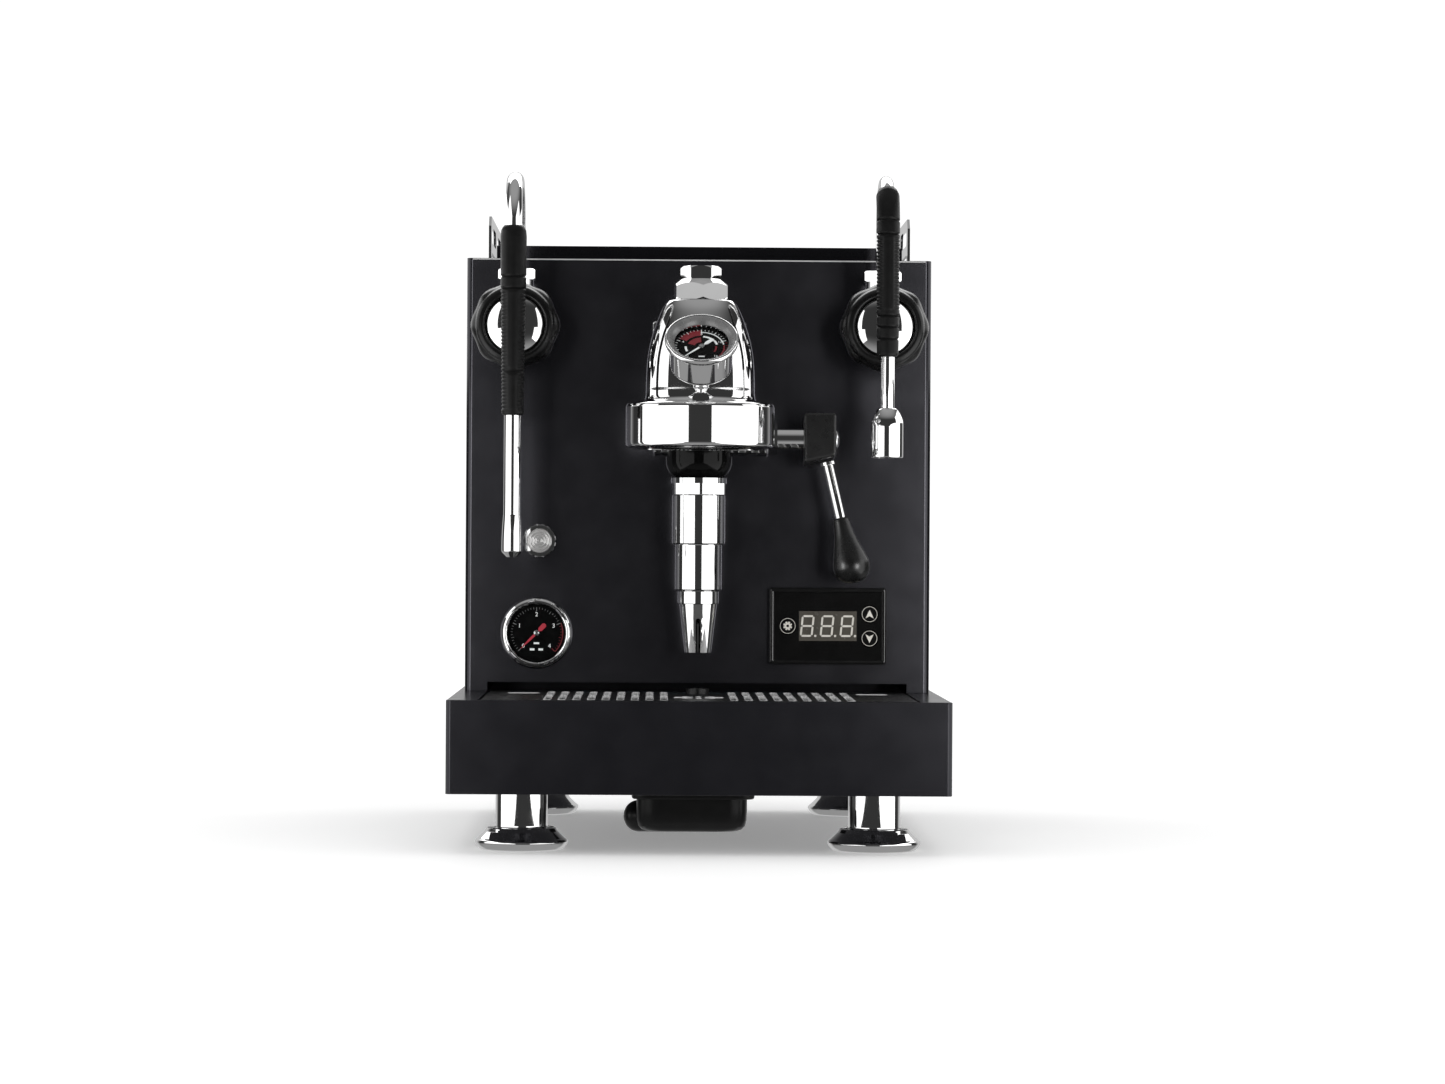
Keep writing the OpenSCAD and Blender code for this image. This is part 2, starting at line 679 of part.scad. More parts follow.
// Knob, open in the middle for the polished disc
module knob(x) {
    translate([x, knob_back_y, knob_z]) rotate([90, 0, 0]) difference() {
        union() {
            linear_extrude(2) knob_outline(1.2);
            translate([0, 0, 1.9]) linear_extrude(13) knob_outline(0);
            translate([0, 0, 14.8]) linear_extrude(1.6) knob_outline(1.2);
            rotate_extrude() polygon([[0, 10], [25, 10], [25, 17.4], [24.4, 19.4], [22.6, 20.9],
                [21, 20.9], [19.8, 19.6], [19.4, 17], [0, 17]]);
        }
        translate([0, 0, 16.4]) cylinder(h = 10, d = 38);
        translate([0, 0, -1]) cylinder(h = 30, d = stem_d);
        translate([0, 0, -1]) cylinder(h = 5, d = 28);
    }
}

module steam_knob() {
    color("#161617") knob(-knob_x);
}

module water_knob() {
    color("#161617") knob(knob_x);
}

// Valve spindle with the polished disc that closes the front of the knob
module stem(x) {
    rod_y(x, knob_z, knob_back_y - 17, stem_back_y, stem_d);
    translate([x, knob_back_y - 16.6, knob_z]) rotate([90, 0, 0]) rotate_extrude()
        polygon([[0, 0], [18.6, 0], [18.6, 1.2], [17.4, 2.2], [13, 3.2], [7, 3.9], [0, 4.2]]);
}

module steam_stem() {
    color("silver") stem(-knob_x);
}

module water_stem() {
    color("silver") stem(knob_x);
}

// Arc of a swan neck in the YZ plane, from the front leg up and over
module neck_arc(x, d, sweep) {
    translate([x, riser_y - arc_r, arc_z]) rotate([0, 0, -90]) rotate([90, 0, 0])
        rotate_extrude(angle = sweep) translate([arc_r, 0]) circle(d = d);
}

module swan_neck(x, d, bottom_z) {
    union() {
        rod_z(x, riser_y, knob_z + 8, arc_z, d);
        neck_arc(x, d, 180);
        rod_z(x, leg_y, bottom_z, arc_z, d);
    }
}

module steam_pipe() {
    color("silver") difference() {
        swan_neck(-knob_x, steam_pipe_d, steam_tip_z[1]);
        rod_z(-knob_x, riser_y, knob_z, arc_z, 7);
        rod_z(-knob_x, leg_y, steam_tip_z[1] - 1, arc_z, 7);
    }
}

module water_pipe() {
    color("silver") difference() {
        swan_neck(knob_x, water_pipe_d, water_spout_z[1] - 4);
        rod_z(knob_x, riser_y, knob_z, arc_z, 6);
        rod_z(knob_x, leg_y, water_spout_z[0], arc_z, 6);
    }
}

module steam_grip() {
    z0 = steam_grip_z[0];
    z1 = steam_grip_z[1];
    color("#1a1a1b") difference() {
        translate([-knob_x, leg_y, 0]) rotate_extrude() polygon([[0, z0], [6.8, z0], [7.1, z0 + 1],
            [8.2, z1 - 40], [8.4, z1 - 6], [7.6, z1 - 2.4], [6.4, z1 - 0.4], [0, z1 - 0.4]]);
        rod_z(-knob_x, leg_y, z0 - 1, z1 + 1, steam_pipe_d);
    }
}

module water_grip() {
    grip_d = 15;
    color("#1a1a1b") union() {
        translate([knob_x, leg_y, 0]) rotate_extrude() polygon([[water_pipe_d / 2, water_grip_z0],
            [6.8, water_grip_z0], [grip_d / 2, water_grip_z0 + 30], [grip_d / 2, arc_z],
            [water_pipe_d / 2, arc_z]]);
        translate([knob_x, riser_y - arc_r, arc_z]) rotate([0, 0, -90]) rotate([90, 0, 0])
            rotate_extrude(angle = water_grip_arc) translate([arc_r, 0]) difference() {
                circle(d = grip_d);
                circle(d = water_pipe_d);
            }
    }
}

module steam_tip() {
    z0 = steam_tip_z[0];
    z1 = steam_tip_z[1];
    color("silver") translate([-knob_x, leg_y, 0]) difference() {
        rotate_extrude() polygon([[0, z0], [3.4, z0], [6.2, z0 + 3], [6.6, z0 + 4], [6.6, z0 + 14],
            [5.6, z1], [0, z1]]);
        translate([0, 0, z0 + 6]) cylinder(h = 40, d = 7);
        cylinder(h = 260, d = 1.6, $fn = 16);
    }
}

module water_spout() {
    z0 = water_spout_z[0];
    z1 = water_spout_z[1];
    color("silver") translate([knob_x, leg_y, 0]) difference() {
        rotate_extrude() polygon([[0, z0], [9.6, z0], [10.3, z0 + 1], [10.3, z1 - 11], [9.6, z1 - 6.6],
            [7.8, z1 - 3], [5.4, z1 - 0.6], [0, z1 - 0.6]]);
        translate([0, 0, z0 - 1]) cylinder(h = z1 - z0 - 9, d = 17.6);
        translate([0, 0, z1 - 12]) cylinder(h = 20, d = water_pipe_d - 1);
        translate([0, 0, z1 - 4]) cylinder(h = 20, d = water_pipe_d);
    }
}

// ---- Controls ----

// Frame of the boiler gauge: z along its axis, out of the panel
module at_boiler_gauge() {
    translate([-boiler_gauge_x, panel_y, boiler_gauge_z]) rotate([90, 0, 0]) children();
}

module boiler_gauge_case() {
    r = boiler_gauge_d / 2;
    color("silver") at_boiler_gauge() difference() {
        union() {
            rotate_extrude() polygon([[0, 0], [r, 0], [r, 1.4], [r - 0.8, 3.4], [r - 2.4, 4.9],
                [r - 4, 5.4], [0, 5.4]]);
            translate([0, 0, -24]) cylinder(h = 24.2, d = 41.6);
            translate([0, 0, -34]) cylinder(h = 11, d = 10);
        }
        translate([0, 0, -0.6]) cylinder(h = 10, d = 2 * r - 9.6);
        translate([0, 0, -22]) cylinder(h = 20, d = 38);
        translate([0, 0, -3]) cylinder(h = 4, d = 37);
    }
}

module boiler_gauge_dial() {
    color("#101010") at_boiler_gauge() difference() {
        translate([0, 0, -0.6]) cylinder(h = 0.8, d = 37.6);
        translate([0, 0, -2]) cylinder(h = 4, d = 2.1);
    }
}

module boiler_gauge_needle() {
    color("crimson") at_boiler_gauge() union() {
        translate([0, 0, 1]) rotate([0, 0, 135]) pointer(13.6, 7, 1.5);
        translate([0, 0, 0.9]) cylinder(h = 1, d = 4);
        translate([0, 0, -0.5]) cylinder(h = 1.6, d = 2);
    }
}

module boiler_gauge_glass() {
    color("#dfe8ee40") at_boiler_gauge() translate([0, 0, 3]) cylinder(h = 1, d = 37.8);
}

module display_housing() {
    x0 = display_x - display_w / 2;
    face_y = panel_y - 5;
    color("#141415") difference() {
        union() {
            round_bar_y(display_x, display_z, panel_y - 6, panel_y, display_w, display_h, 1.5);
            span([display_x - 33.6, panel_y, display_z - 20.6],
                 [display_x + 33.6, panel_y + 38, display_z + 20.6]);
        }
        round_bar_y(display_x, display_z + 0.2, panel_y - 8, face_y, display_w - 6, display_h - 5, 1);
        span([display_x - 19.2, face_y - 2, display_z - 10], [display_x + 19.2, face_y + 2, display_z + 10]);
        translate([display_x + set_x, 0, display_z]) rotate([90, 0, 0])
            translate([0, 0, -panel_y]) cylinder(h = 30, d = button_d + 0.8);
        for (s = [-1, 1]) translate([display_x + arrow_x, 0, display_z + s * arrow_z]) rotate([90, 0, 0])
            translate([0, 0, -panel_y]) cylinder(h = 30, d = button_d + 0.8);
    }
}

module display_window() {
    color("#4c4a46") span([display_x - 19, panel_y - 5, display_z - 9.8],
        [display_x + 19, panel_y - 3, display_z + 9.8]);
}

module button(x, z) {
    translate([x, panel_y - 1, z]) rotate([90, 0, 0]) rotate_extrude()
        polygon([[0, 0], [button_d / 2, 0], [button_d / 2, 4.4], [button_d / 2 - 0.5, 4.9], [0, 4.9]]);
}

module set_button() {
    color("#1d1d1e") button(display_x + set_x, display_z);
}

module up_button() {
    color("#1d1d1e") button(display_x + arrow_x, display_z + arrow_z);
}

module down_button() {
    color("#1d1d1e") button(display_x + arrow_x, display_z - arrow_z);
}

module power_bezel() {
    notches = 16;
    color("silver") translate([-power_x, panel_y, power_z]) rotate([90, 0, 0]) difference() {
        union() {
            rotate_extrude() polygon([[0, 0], [11, 0], [11, 2.4], [10.2, 3.4], [0, 3.4]]);
            translate([0, 0, -20]) cylinder(h = 21, d = 16.8);
        }
        translate([0, 0, -16]) cylinder(h = 30, d = 13.8);
        translate([0, 0, 1]) cylinder(h = 10, d = 16.8);
        for (k = [0 : notches - 1]) rotate([0, 0, k * 360 / notches])
            translate([11.5, 0, -1]) cylinder(h = 6, d = 2.2, $fn = 16);
    }
}

module power_button() {
    color("#e6e6e2") translate([-power_x, panel_y, power_z]) rotate([90, 0, 0]) rotate_extrude()
        polygon([[0, -11], [6.6, -11], [6.6, 4.2], [8.1, 4.2], [8.1, 5.4], [7.4, 6.6], [4, 7.4],
            [0, 7.6]]);
}

// ---- Internal parts ----

module boiler_shell() {
    color("#b87333") difference() {
        union() {
            rod_y(0, boiler_z, boiler_y[0], boiler_y[1], boiler_d);
            rod_y(0, boiler_z, boiler_y[1] - 6, boiler_y[1], boiler_d + 16);
            for (s = [-1, 1], y = [46, 82])
                span([s > 0 ? 30 : -34, y, deck_z], [s > 0 ? 34 : -30, y + 14, boiler_z - 46]);
        }
        rod_y(0, boiler_z, boiler_y[0] + 2, boiler_y[1] + 1, boiler_d - 4);
    }
}

module heating_element() {
    color("#c9a227") union() {
        rod_y(0, boiler_z, boiler_y[1], boiler_y[1] + 6, boiler_d + 16);
        for (x = [-16, 16]) {
            rod_y(x, boiler_z - 24, boiler_y[0] + 26, boiler_y[1] + 16, 8);
            rod_y(x, boiler_z - 24, boiler_y[1] + 6, boiler_y[1] + 9, 16);
        }
        translate([0, boiler_y[0] + 26, boiler_z - 24]) rotate([180, 0, 0])
            rotate_extrude(angle = 180) translate([16, 0]) circle(d = 8);
        for (k = [0 : 7]) rotate_about_boiler(k * 45 + 22.5)
            translate([boiler_d / 2 + 3.4, boiler_y[1] + 6, 0]) rotate([-90, 0, 0])
                cylinder(h = 4, d = 9, $fn = 6);
    }
}

module rotate_about_boiler(turn) {
    translate([0, 0, boiler_z]) rotate([0, turn, 0]) children();
}

// Bent copper tube through a list of points, twelve-sided, with its straights lapped at each bend
module tube(points, d) {
    lap = d * 0.35;
    for (k = [0 : len(points) - 2]) {
        step = points[k + 1] - points[k];
        length = norm(step);
        before = k > 0 ? lap : 0;
        after = k < len(points) - 2 ? lap : 0;
        translate(points[k]) rotate([0, acos(step[2] / length), atan2(step[1], step[0])])
            translate([0, 0, -before]) cylinder(h = length + before + after, d = d, $fn = 12);
    }
}

module copper_pipes() {
    top = boiler_z + boiler_d / 2 - 1;
    color("#b87333") {
        tube([[-30, 30, top - 8], [-30, 30, 345], [-knob_x, 30, 345], [-knob_x, -20, knob_z],
            [-knob_x, panel_y + 16, knob_z]], 8);
        tube([[boiler_d / 2 - 1, 40, boiler_z - 10], [100, 40, boiler_z - 10], [knob_x, -10, 300],
            [knob_x, -20, knob_z], [knob_x, panel_y + 16, knob_z]], 8);
        tube([[0, boiler_y[0], 292], [0, boiler_y[0] - 10, 292], [0, -36, 310], [0, panel_y, 310]], 8);
        tube([[-20, boiler_y[0], 224], [-20, boiler_y[0] - 12, 224], [0, -38, 288], [0, panel_y, 288]], 8);
        tube([[100, 92, 150], [100, 92, 190], [50, 60, 200], [34, 60, boiler_z - 46]], 6);
    }
}

module pump() {
    color("#8a8a8e") union() {
        span([76, 60, deck_z], [124, 124, deck_z + 6]);
        translate([100, 92, 0]) {
            translate([-22, -26, deck_z + 6]) cube([44, 52, 36]);
            translate([0, 0, deck_z + 42]) cylinder(h = 12, d = 22);
        }
        rod_y(100, deck_z + 24, 118, 130, 12);
    }
}

module water_tank() {
    wall = 2.5;
    color("#dfe8ee60") difference() {
        span([-tank_x, tank_y[0], tank_z[0]], [tank_x, tank_y[1], tank_z[1]]);
        span([-tank_x + wall, tank_y[0] + wall, tank_z[0] + wall],
             [tank_x - wall, tank_y[1] - wall, tank_z[1] + 1]);
    }
}

module tank_lid() {
    color("#2a2a2c") difference() {
        union() {
            span([-tank_x - 1, tank_y[0] - 1, tank_z[1] + 0.2],
                 [tank_x + 1, tank_y[1] - 4.5, tank_z[1] + 3.2]);
            span([-12, tank_y[0] + 4, tank_z[1] + 3], [12, tank_y[0] + 8, tank_z[1] + 9]);
            rod_x(-60, 60, tank_y[1] - 3.5, tank_z[1] + 1.8, 3);
        }
        rod_z(-60, 177, tank_z[1] - 1, tank_z[1] + 5, 12);
    }
}

module electronics_box() {
    color("#3a3a3d") difference() {
        span([-140, -10, deck_z + 10], [-88, 110, 190]);
        span([-138, -8, deck_z + 12], [-90, 108, 188]);
    }
}

module power_inlet() {
    color("#151516") difference() {
        union() {
            span([102.4, body_back_y - 24, 108.4], [129.6, body_back_y - 2, 128.6]);
            span([98, body_back_y, 105], [134, body_back_y + 1.9, 132]);
            span([102.4, body_back_y - 3, 108.4], [129.6, body_back_y + 1, 128.6]);
        }
        span([104.4, body_back_y - 18, 110.4], [127.6, body_back_y + 4, 126.6]);
    }
    color("silver") for (x = [109, 116, 123])
        span([x - 1, body_back_y - 19, 115], [x + 1, body_back_y - 5, 121]);
}

base_frame();
front_panel();
body_cover();
cup_tray();
cup_rails();
feet();
cover_screws();
drip_tray_front();
drip_tray_pan();
drip_grate();
drain_bowl();
group_body();
group_cap_nut();
flange_nuts();
lower_valve_nut();
infusion_chamber();
drain_tube();
shower_screen();
group_gasket();
lever_shaft();
lever_hub();
lever_rod();
lever_knob();
brew_valve();
discharge_valve();
group_gauge_case();
group_gauge_dial();
group_gauge_needle();
group_gauge_glass();
valve_bodies();
wand_nuts();
steam_knob();
water_knob();
steam_stem();
water_stem();
steam_pipe();
water_pipe();
steam_grip();
water_grip();
steam_tip();
water_spout();
boiler_gauge_case();
boiler_gauge_dial();
boiler_gauge_needle();
boiler_gauge_glass();
display_housing();
display_window();
set_button();
up_button();
down_button();
power_bezel();
power_button();
boiler_shell();
heating_element();
copper_pipes();
pump();
water_tank();
tank_lid();
electronics_box();
power_inlet();
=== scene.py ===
import json
import math

import bmesh
import bpy
from mathutils import Matrix, Vector

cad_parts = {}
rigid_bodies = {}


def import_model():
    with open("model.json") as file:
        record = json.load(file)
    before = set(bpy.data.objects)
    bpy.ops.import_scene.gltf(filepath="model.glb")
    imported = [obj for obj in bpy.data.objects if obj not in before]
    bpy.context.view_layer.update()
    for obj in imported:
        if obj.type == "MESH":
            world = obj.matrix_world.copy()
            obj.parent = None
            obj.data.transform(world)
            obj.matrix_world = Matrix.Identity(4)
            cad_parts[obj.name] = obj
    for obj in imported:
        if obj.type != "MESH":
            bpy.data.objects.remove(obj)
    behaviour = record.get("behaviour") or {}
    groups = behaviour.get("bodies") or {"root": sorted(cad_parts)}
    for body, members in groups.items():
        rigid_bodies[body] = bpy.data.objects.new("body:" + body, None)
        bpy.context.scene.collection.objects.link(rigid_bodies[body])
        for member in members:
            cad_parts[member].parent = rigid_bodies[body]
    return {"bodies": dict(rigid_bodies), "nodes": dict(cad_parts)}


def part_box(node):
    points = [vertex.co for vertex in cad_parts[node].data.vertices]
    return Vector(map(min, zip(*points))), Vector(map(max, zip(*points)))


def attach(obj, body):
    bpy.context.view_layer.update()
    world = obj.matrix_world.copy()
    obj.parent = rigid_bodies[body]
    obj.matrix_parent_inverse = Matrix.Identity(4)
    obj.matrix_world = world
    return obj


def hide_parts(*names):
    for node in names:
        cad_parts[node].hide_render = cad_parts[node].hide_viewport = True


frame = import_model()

# Espresso machine. Metres, +Z up, the front faces -Y. Local shapes are written in millimetres.
MM = 0.001
TAU = 2 * math.pi
nodes = frame["nodes"]
# Only the frame's own objects stay in the file.
kept = set(nodes.values()) | set(frame["bodies"].values())
for leftover in [o for o in bpy.data.objects if o not in kept]:
    bpy.data.objects.remove(leftover)
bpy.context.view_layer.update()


def middle(node):
    low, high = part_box(node)
    return (low + high) / 2


# ---- Places worked out from the frame ----

panel_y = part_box("front_panel")[0].y
bell = middle("shower_screen")
valve = middle("infusion_chamber")
spindle = middle("lever_shaft")
# Turns a shape's +Z to the machine's front, with its +Y up.
FRONT = Matrix.Rotation(math.radians(90), 4, "X")
boiler_gauge = middle("boiler_gauge_case")
at_boiler_gauge = Matrix.Translation((boiler_gauge.x, panel_y, boiler_gauge.z)) @ FRONT
# The group's gauge looks up by this angle. Its rim lies this far, in millimetres, before the glass's middle.
GAUGE_TILT = math.radians(47)
GLASS_DEPTH = 5.3
gauge_out = Vector((0, -math.cos(GAUGE_TILT), math.sin(GAUGE_TILT)))
gauge_rim = middle("group_gauge_glass") + gauge_out * GLASS_DEPTH * MM
at_group_gauge = Matrix.Translation(gauge_rim) @ Matrix.Rotation(math.radians(90) - GAUGE_TILT, 4, "X")
steam_x = middle("steam_tip").x
water_x = middle("water_spout").x
wand_y = middle("steam_tip").y
knob_z = middle("steam_knob").z
display = middle("display_window")


# ---- Materials ----

def new_material(name):
    material = bpy.data.materials.new(name)
    material.use_nodes = True
    tree = material.node_tree
    return material, tree, tree.nodes["Principled BSDF"]


def noise(tree, scale, stretch=(1, 1, 1)):
    """Noise in the object's own coordinates, in metres."""
    coords = tree.nodes.new("ShaderNodeTexCoord")
    mapping = tree.nodes.new("ShaderNodeMapping")
    mapping.inputs["Scale"].default_value = stretch
    texture = tree.nodes.new("ShaderNodeTexNoise")
    texture.inputs["Scale"].default_value = scale
    texture.inputs["Detail"].default_value = 3
    tree.links.new(coords.outputs["Object"], mapping.inputs["Vector"])
    tree.links.new(mapping.outputs["Vector"], texture.inputs["Vector"])
    return texture.outputs["Fac"]


def ranged(tree, value, low, high):
    """Noise spread over a range of numbers."""
    node = tree.nodes.new("ShaderNodeMapRange")
    node.inputs["From Min"].default_value = 0.3
    node.inputs["From Max"].default_value = 0.7
    node.inputs["To Min"].default_value = low
    node.inputs["To Max"].default_value = high
    tree.links.new(value, node.inputs["Value"])
    return node.outputs["Result"]


def blended(tree, value, dark, light):
    """Noise spread over two colours."""
    node = tree.nodes.new("ShaderNodeValToRGB")
    node.color_ramp.elements[0].position = 0.3
    node.color_ramp.elements[1].position = 0.7
    node.color_ramp.elements[0].color = (*dark, 1)
    node.color_ramp.elements[1].color = (*light, 1)
    tree.links.new(value, node.inputs["Fac"])
    return node.outputs["Color"]


def bump(tree, shader, value, depth):
    """Relief of a depth in millimetres."""
    node = tree.nodes.new("ShaderNodeBump")
    node.inputs["Distance"].default_value = depth * MM
    tree.links.new(value, node.inputs["Height"])
    tree.links.new(node.outputs["Normal"], shader.inputs["Normal"])


def surface(name, dark, light, rough, metallic=0.0, patch=60, grain=1500, depth=0.02, stretch=(1, 1, 1),
            specular=0.5, tint=(1, 1, 1)):
    """Finish with uneven colour and roughness in patches, and a fine grain in its relief."""
    material, tree, shader = new_material(name)
    shader.inputs["Metallic"].default_value = metallic
    shader.inputs["Specular IOR Level"].default_value = specular
    shader.inputs["Specular Tint"].default_value = (*tint, 1)
    patches = noise(tree, patch)
    tree.links.new(blended(tree, patches, dark, light), shader.inputs["Base Color"])
    tree.links.new(ranged(tree, noise(tree, patch * 2.3), *rough), shader.inputs["Roughness"])
    if depth:
        bump(tree, shader, noise(tree, grain, stretch), depth)
    return material


def film(name, tint, ior, rough=0.02):
    """Clear glass or plastic: see-through, with a reflecting skin."""
    material, tree, shader = new_material(name)
    tree.nodes.remove(shader)
    clear = tree.nodes.new("ShaderNodeBsdfTransparent")
    gloss = tree.nodes.new("ShaderNodeBsdfGlossy")
    fresnel = tree.nodes.new("ShaderNodeFresnel")
    mix = tree.nodes.new("ShaderNodeMixShader")
    clear.inputs["Color"].default_value = (*tint, 1)
    fresnel.inputs["IOR"].default_value = ior
    tree.links.new(ranged(tree, noise(tree, 40), rough, rough * 1.6), gloss.inputs["Roughness"])
    tree.links.new(fresnel.outputs["Fac"], mix.inputs["Fac"])
    tree.links.new(clear.outputs["BSDF"], mix.inputs[1])
    tree.links.new(gloss.outputs["BSDF"], mix.inputs[2])
    tree.links.new(mix.outputs["Shader"], tree.nodes["Material Output"].inputs["Surface"])
    return material


def grey(value, warm=0.0):
    """Grey, a little warmer where the second number says so."""
    return (value * (1 + warm), value, value * (1 - warm))


black_paint = surface("satin_black", (0.0024, 0.0024, 0.0030), (0.0032, 0.0032, 0.0040), (0.18, 0.21),
                      patch=22, depth=0, specular=0.6, tint=(0.92, 0.91, 1))
brushed_black = surface("brushed_black", (0.0030, 0.0030, 0.0038), (0.0042, 0.0042, 0.0052), (0.20, 0.24),
                        patch=18, depth=0, specular=0.4, tint=(0.92, 0.91, 1))
chrome = surface("chrome", grey(0.86), grey(0.93), (0.015, 0.05), 1.0, patch=30, grain=160, depth=0.0008)
satin_chrome = surface("satin_chrome", grey(0.60), grey(0.70), (0.18, 0.26), 1.0, patch=60, grain=900,
                       depth=0.003)
rim_grey = surface("rim_grey", grey(0.16), grey(0.24), (0.22, 0.32), 0.4, patch=90, depth=0)
hub_black = surface("hub_black", grey(0.010), grey(0.014), (0.25, 0.32), patch=90, grain=700, depth=0.004)
# Light grey for thin strips that are painted highlights on the front panel's top fold and on the grate's slot
# edges.
painted_edge_highlight = surface("painted_edge_highlight", grey(0.50), grey(0.62), (0.30, 0.42), 0.3, patch=90, depth=0)
stainless = surface("stainless", grey(0.56), grey(0.60), (0.27, 0.31), 1.0, patch=50, grain=700,
                    depth=0.002, stretch=(0.08, 2, 1))
rubber = surface("rubber", grey(0.004), grey(0.006), (0.36, 0.46), patch=160, grain=700, depth=0.01,
                 specular=0.22)
black_plastic = surface("black_plastic", grey(0.005), grey(0.008), (0.30, 0.38), patch=90, grain=700,
                        depth=0.005, specular=0.4)
gloss_black = surface("gloss_black", grey(0.003), grey(0.005), (0.10, 0.15), patch=70, grain=500,
                      depth=0.001)
# Near-black for the chrome bowl under the group: painted shade under the ring.
bowl_painted_shade = surface("bowl_painted_shade", grey(0.002), grey(0.003), (0.06, 0.10), patch=60, depth=0, specular=0.15)
knob_black = surface("knob_black", grey(0.003), grey(0.005), (0.24, 0.32), patch=70, depth=0, specular=0.4)
grate_black = surface("grate_black", grey(0.004), grey(0.007), (0.26, 0.34), patch=80, depth=0)
dial_black = surface("dial_black", grey(0.002), grey(0.004), (0.45, 0.55), patch=200, depth=0, specular=0.04)
window_grey = surface("window_grey", (0.055, 0.050, 0.041), (0.070, 0.064, 0.053), (0.20, 0.28),
                      patch=120, grain=900, depth=0.002)
white_mark = surface("white_mark", grey(0.90), grey(0.97), (0.4, 0.5), patch=300, grain=3000, depth=0.002)
tick_mark = surface("tick_mark", grey(0.16), grey(0.22), (0.4, 0.5), patch=300, grain=3000, depth=0.002)
segment_mark = surface("segment_mark", (0.52, 0.50, 0.45), (0.60, 0.58, 0.53), (0.3, 0.4), patch=300,
                       grain=3000, depth=0.002)
red_mark = surface("red_mark", (0.42, 0.012, 0.03), (0.55, 0.02, 0.045), (0.4, 0.5), patch=300,
                   grain=3000, depth=0.002)
dark_red_mark = surface("dark_red_mark", (0.20, 0.008, 0.016), (0.27, 0.012, 0.022), (0.4, 0.5),
                        patch=300, grain=3000, depth=0.002)
lens_clear = surface("lens_clear", grey(0.55, 0.01), grey(0.68, 0.01), (0.05, 0.09), 0.7, patch=200,
                     depth=0)
copper = surface("copper", (0.60, 0.27, 0.16), (0.72, 0.36, 0.22), (0.25, 0.4), 1.0, patch=40)
brass = surface("brass", (0.62, 0.44, 0.16), (0.74, 0.55, 0.24), (0.22, 0.34), 1.0, patch=60)
cast_metal = surface("cast_metal", grey(0.34), grey(0.42), (0.4, 0.5), 1.0, patch=90, depth=0.05)
# The gauges' glass reflects little, so that the dials stay clear.
glass = film("gauge_glass", (0.97, 0.98, 0.98), 1.12)
tank_clear = film("tank_clear", (0.74, 0.82, 0.86), 1.4, 0.06)

node_materials = {
    black_paint: ["base_frame", "front_panel", "body_cover", "cup_tray"],
    brushed_black: ["drip_tray_front"],
    grate_black: ["drip_grate"],
    chrome: ["group_cap_nut", "flange_nuts", "lower_valve_nut", "infusion_chamber", "drain_tube",
             "lever_rod", "lever_shaft", "valve_bodies", "wand_nuts", "steam_pipe", "water_pipe",
             "power_bezel", "cup_rails"],
    stainless: ["drip_tray_pan", "shower_screen", "cover_screws"],
    rubber: ["group_gasket"],
    black_plastic: ["tank_lid", "electronics_box", "power_inlet"],
    gloss_black: ["display_housing", "set_button", "up_button", "down_button"],
    window_grey: ["display_window"],
    dial_black: ["group_gauge_dial", "boiler_gauge_dial"],
    glass: ["group_gauge_glass", "boiler_gauge_glass"],
    tank_clear: ["water_tank"],
    copper: ["boiler_shell", "copper_pipes"],
    brass: ["heating_element", "brew_valve", "discharge_valve"],
    cast_metal: ["pump"],
}
for material, names in node_materials.items():
    for name in names:
        nodes[name].data.materials.clear()
        nodes[name].data.materials.append(material)


# ---- Shapes, as (points, faces) in millimetres ----

def smooth(points, steps=5):
    """Curve through the points, as a denser list."""
    padded = [points[0], *points, points[-1]]
    curve = []
    for a, b, c, d in zip(padded, padded[1:], padded[2:], padded[3:]):
        for k in range(steps):
            t = k / steps
            curve.append(tuple(
                0.5 * (2 * q + (r - p) * t + (2 * p - 5 * q + 4 * r - s) * t * t
                       + (3 * q - p - 3 * r + s) * t ** 3)
                for p, q, r, s in zip(a, b, c, d)))
    return curve + [points[-1]]


def rings(rows, closed=True, caps=False):
    """Skin over rows of points, each row a closed loop of the same length."""
    count = len(rows[0])
    points = [p for row in rows for p in row]
    pairs = len(rows) if closed else len(rows) - 1
    faces = []
    for i in range(pairs):
        a, b = i * count, (i + 1) % len(rows) * count
        faces += [(a + j, a + (j + 1) % count, b + (j + 1) % count, b + j) for j in range(count)]
    if caps:
        faces.append(tuple(reversed(range(count))))
        faces.append(tuple(range(len(points) - count, len(points))))
    return points, faces


def turned(profile, steps):
    """Solid of revolution round Z from (radius, height) points; ends on the axis or closes on itself."""
    on_axis = profile[0][0] == 0
    body = profile[1:-1] if on_axis else profile
    rows = [[(r * math.cos(k * TAU / steps), r * math.sin(k * TAU / steps), z) for k in range(steps)]
            for r, z in body]
    points, faces = rings(rows, closed=not on_axis)
    if on_axis:
        last = len(points) - steps
        points += [(0, 0, profile[0][1]), (0, 0, profile[-1][1])]
        faces += [(len(points) - 2, (k + 1) % steps, k) for k in range(steps)]
        faces += [(len(points) - 1, last + k, last + (k + 1) % steps) for k in range(steps)]
    return points, faces


def slab(outline, z0, z1):
    """Flat plate of a 2-D outline."""
    return rings([[(x, y, z0) for x, y in outline], [(x, y, z1) for x, y in outline]], False, True)


def arc_band(r0, r1, start, end, z0, z1):
    """Flat curved band between two radii and two angles in degrees."""
    steps = max(2, int(abs(end - start) / 4))
    angles = [math.radians(start + (end - start) * k / steps) for k in range(steps + 1)]
    outline = [(r1 * math.cos(a), r1 * math.sin(a)) for a in angles]
    outline += [(r0 * math.cos(a), r0 * math.sin(a)) for a in reversed(angles)]
    return slab(outline, z0, z1)


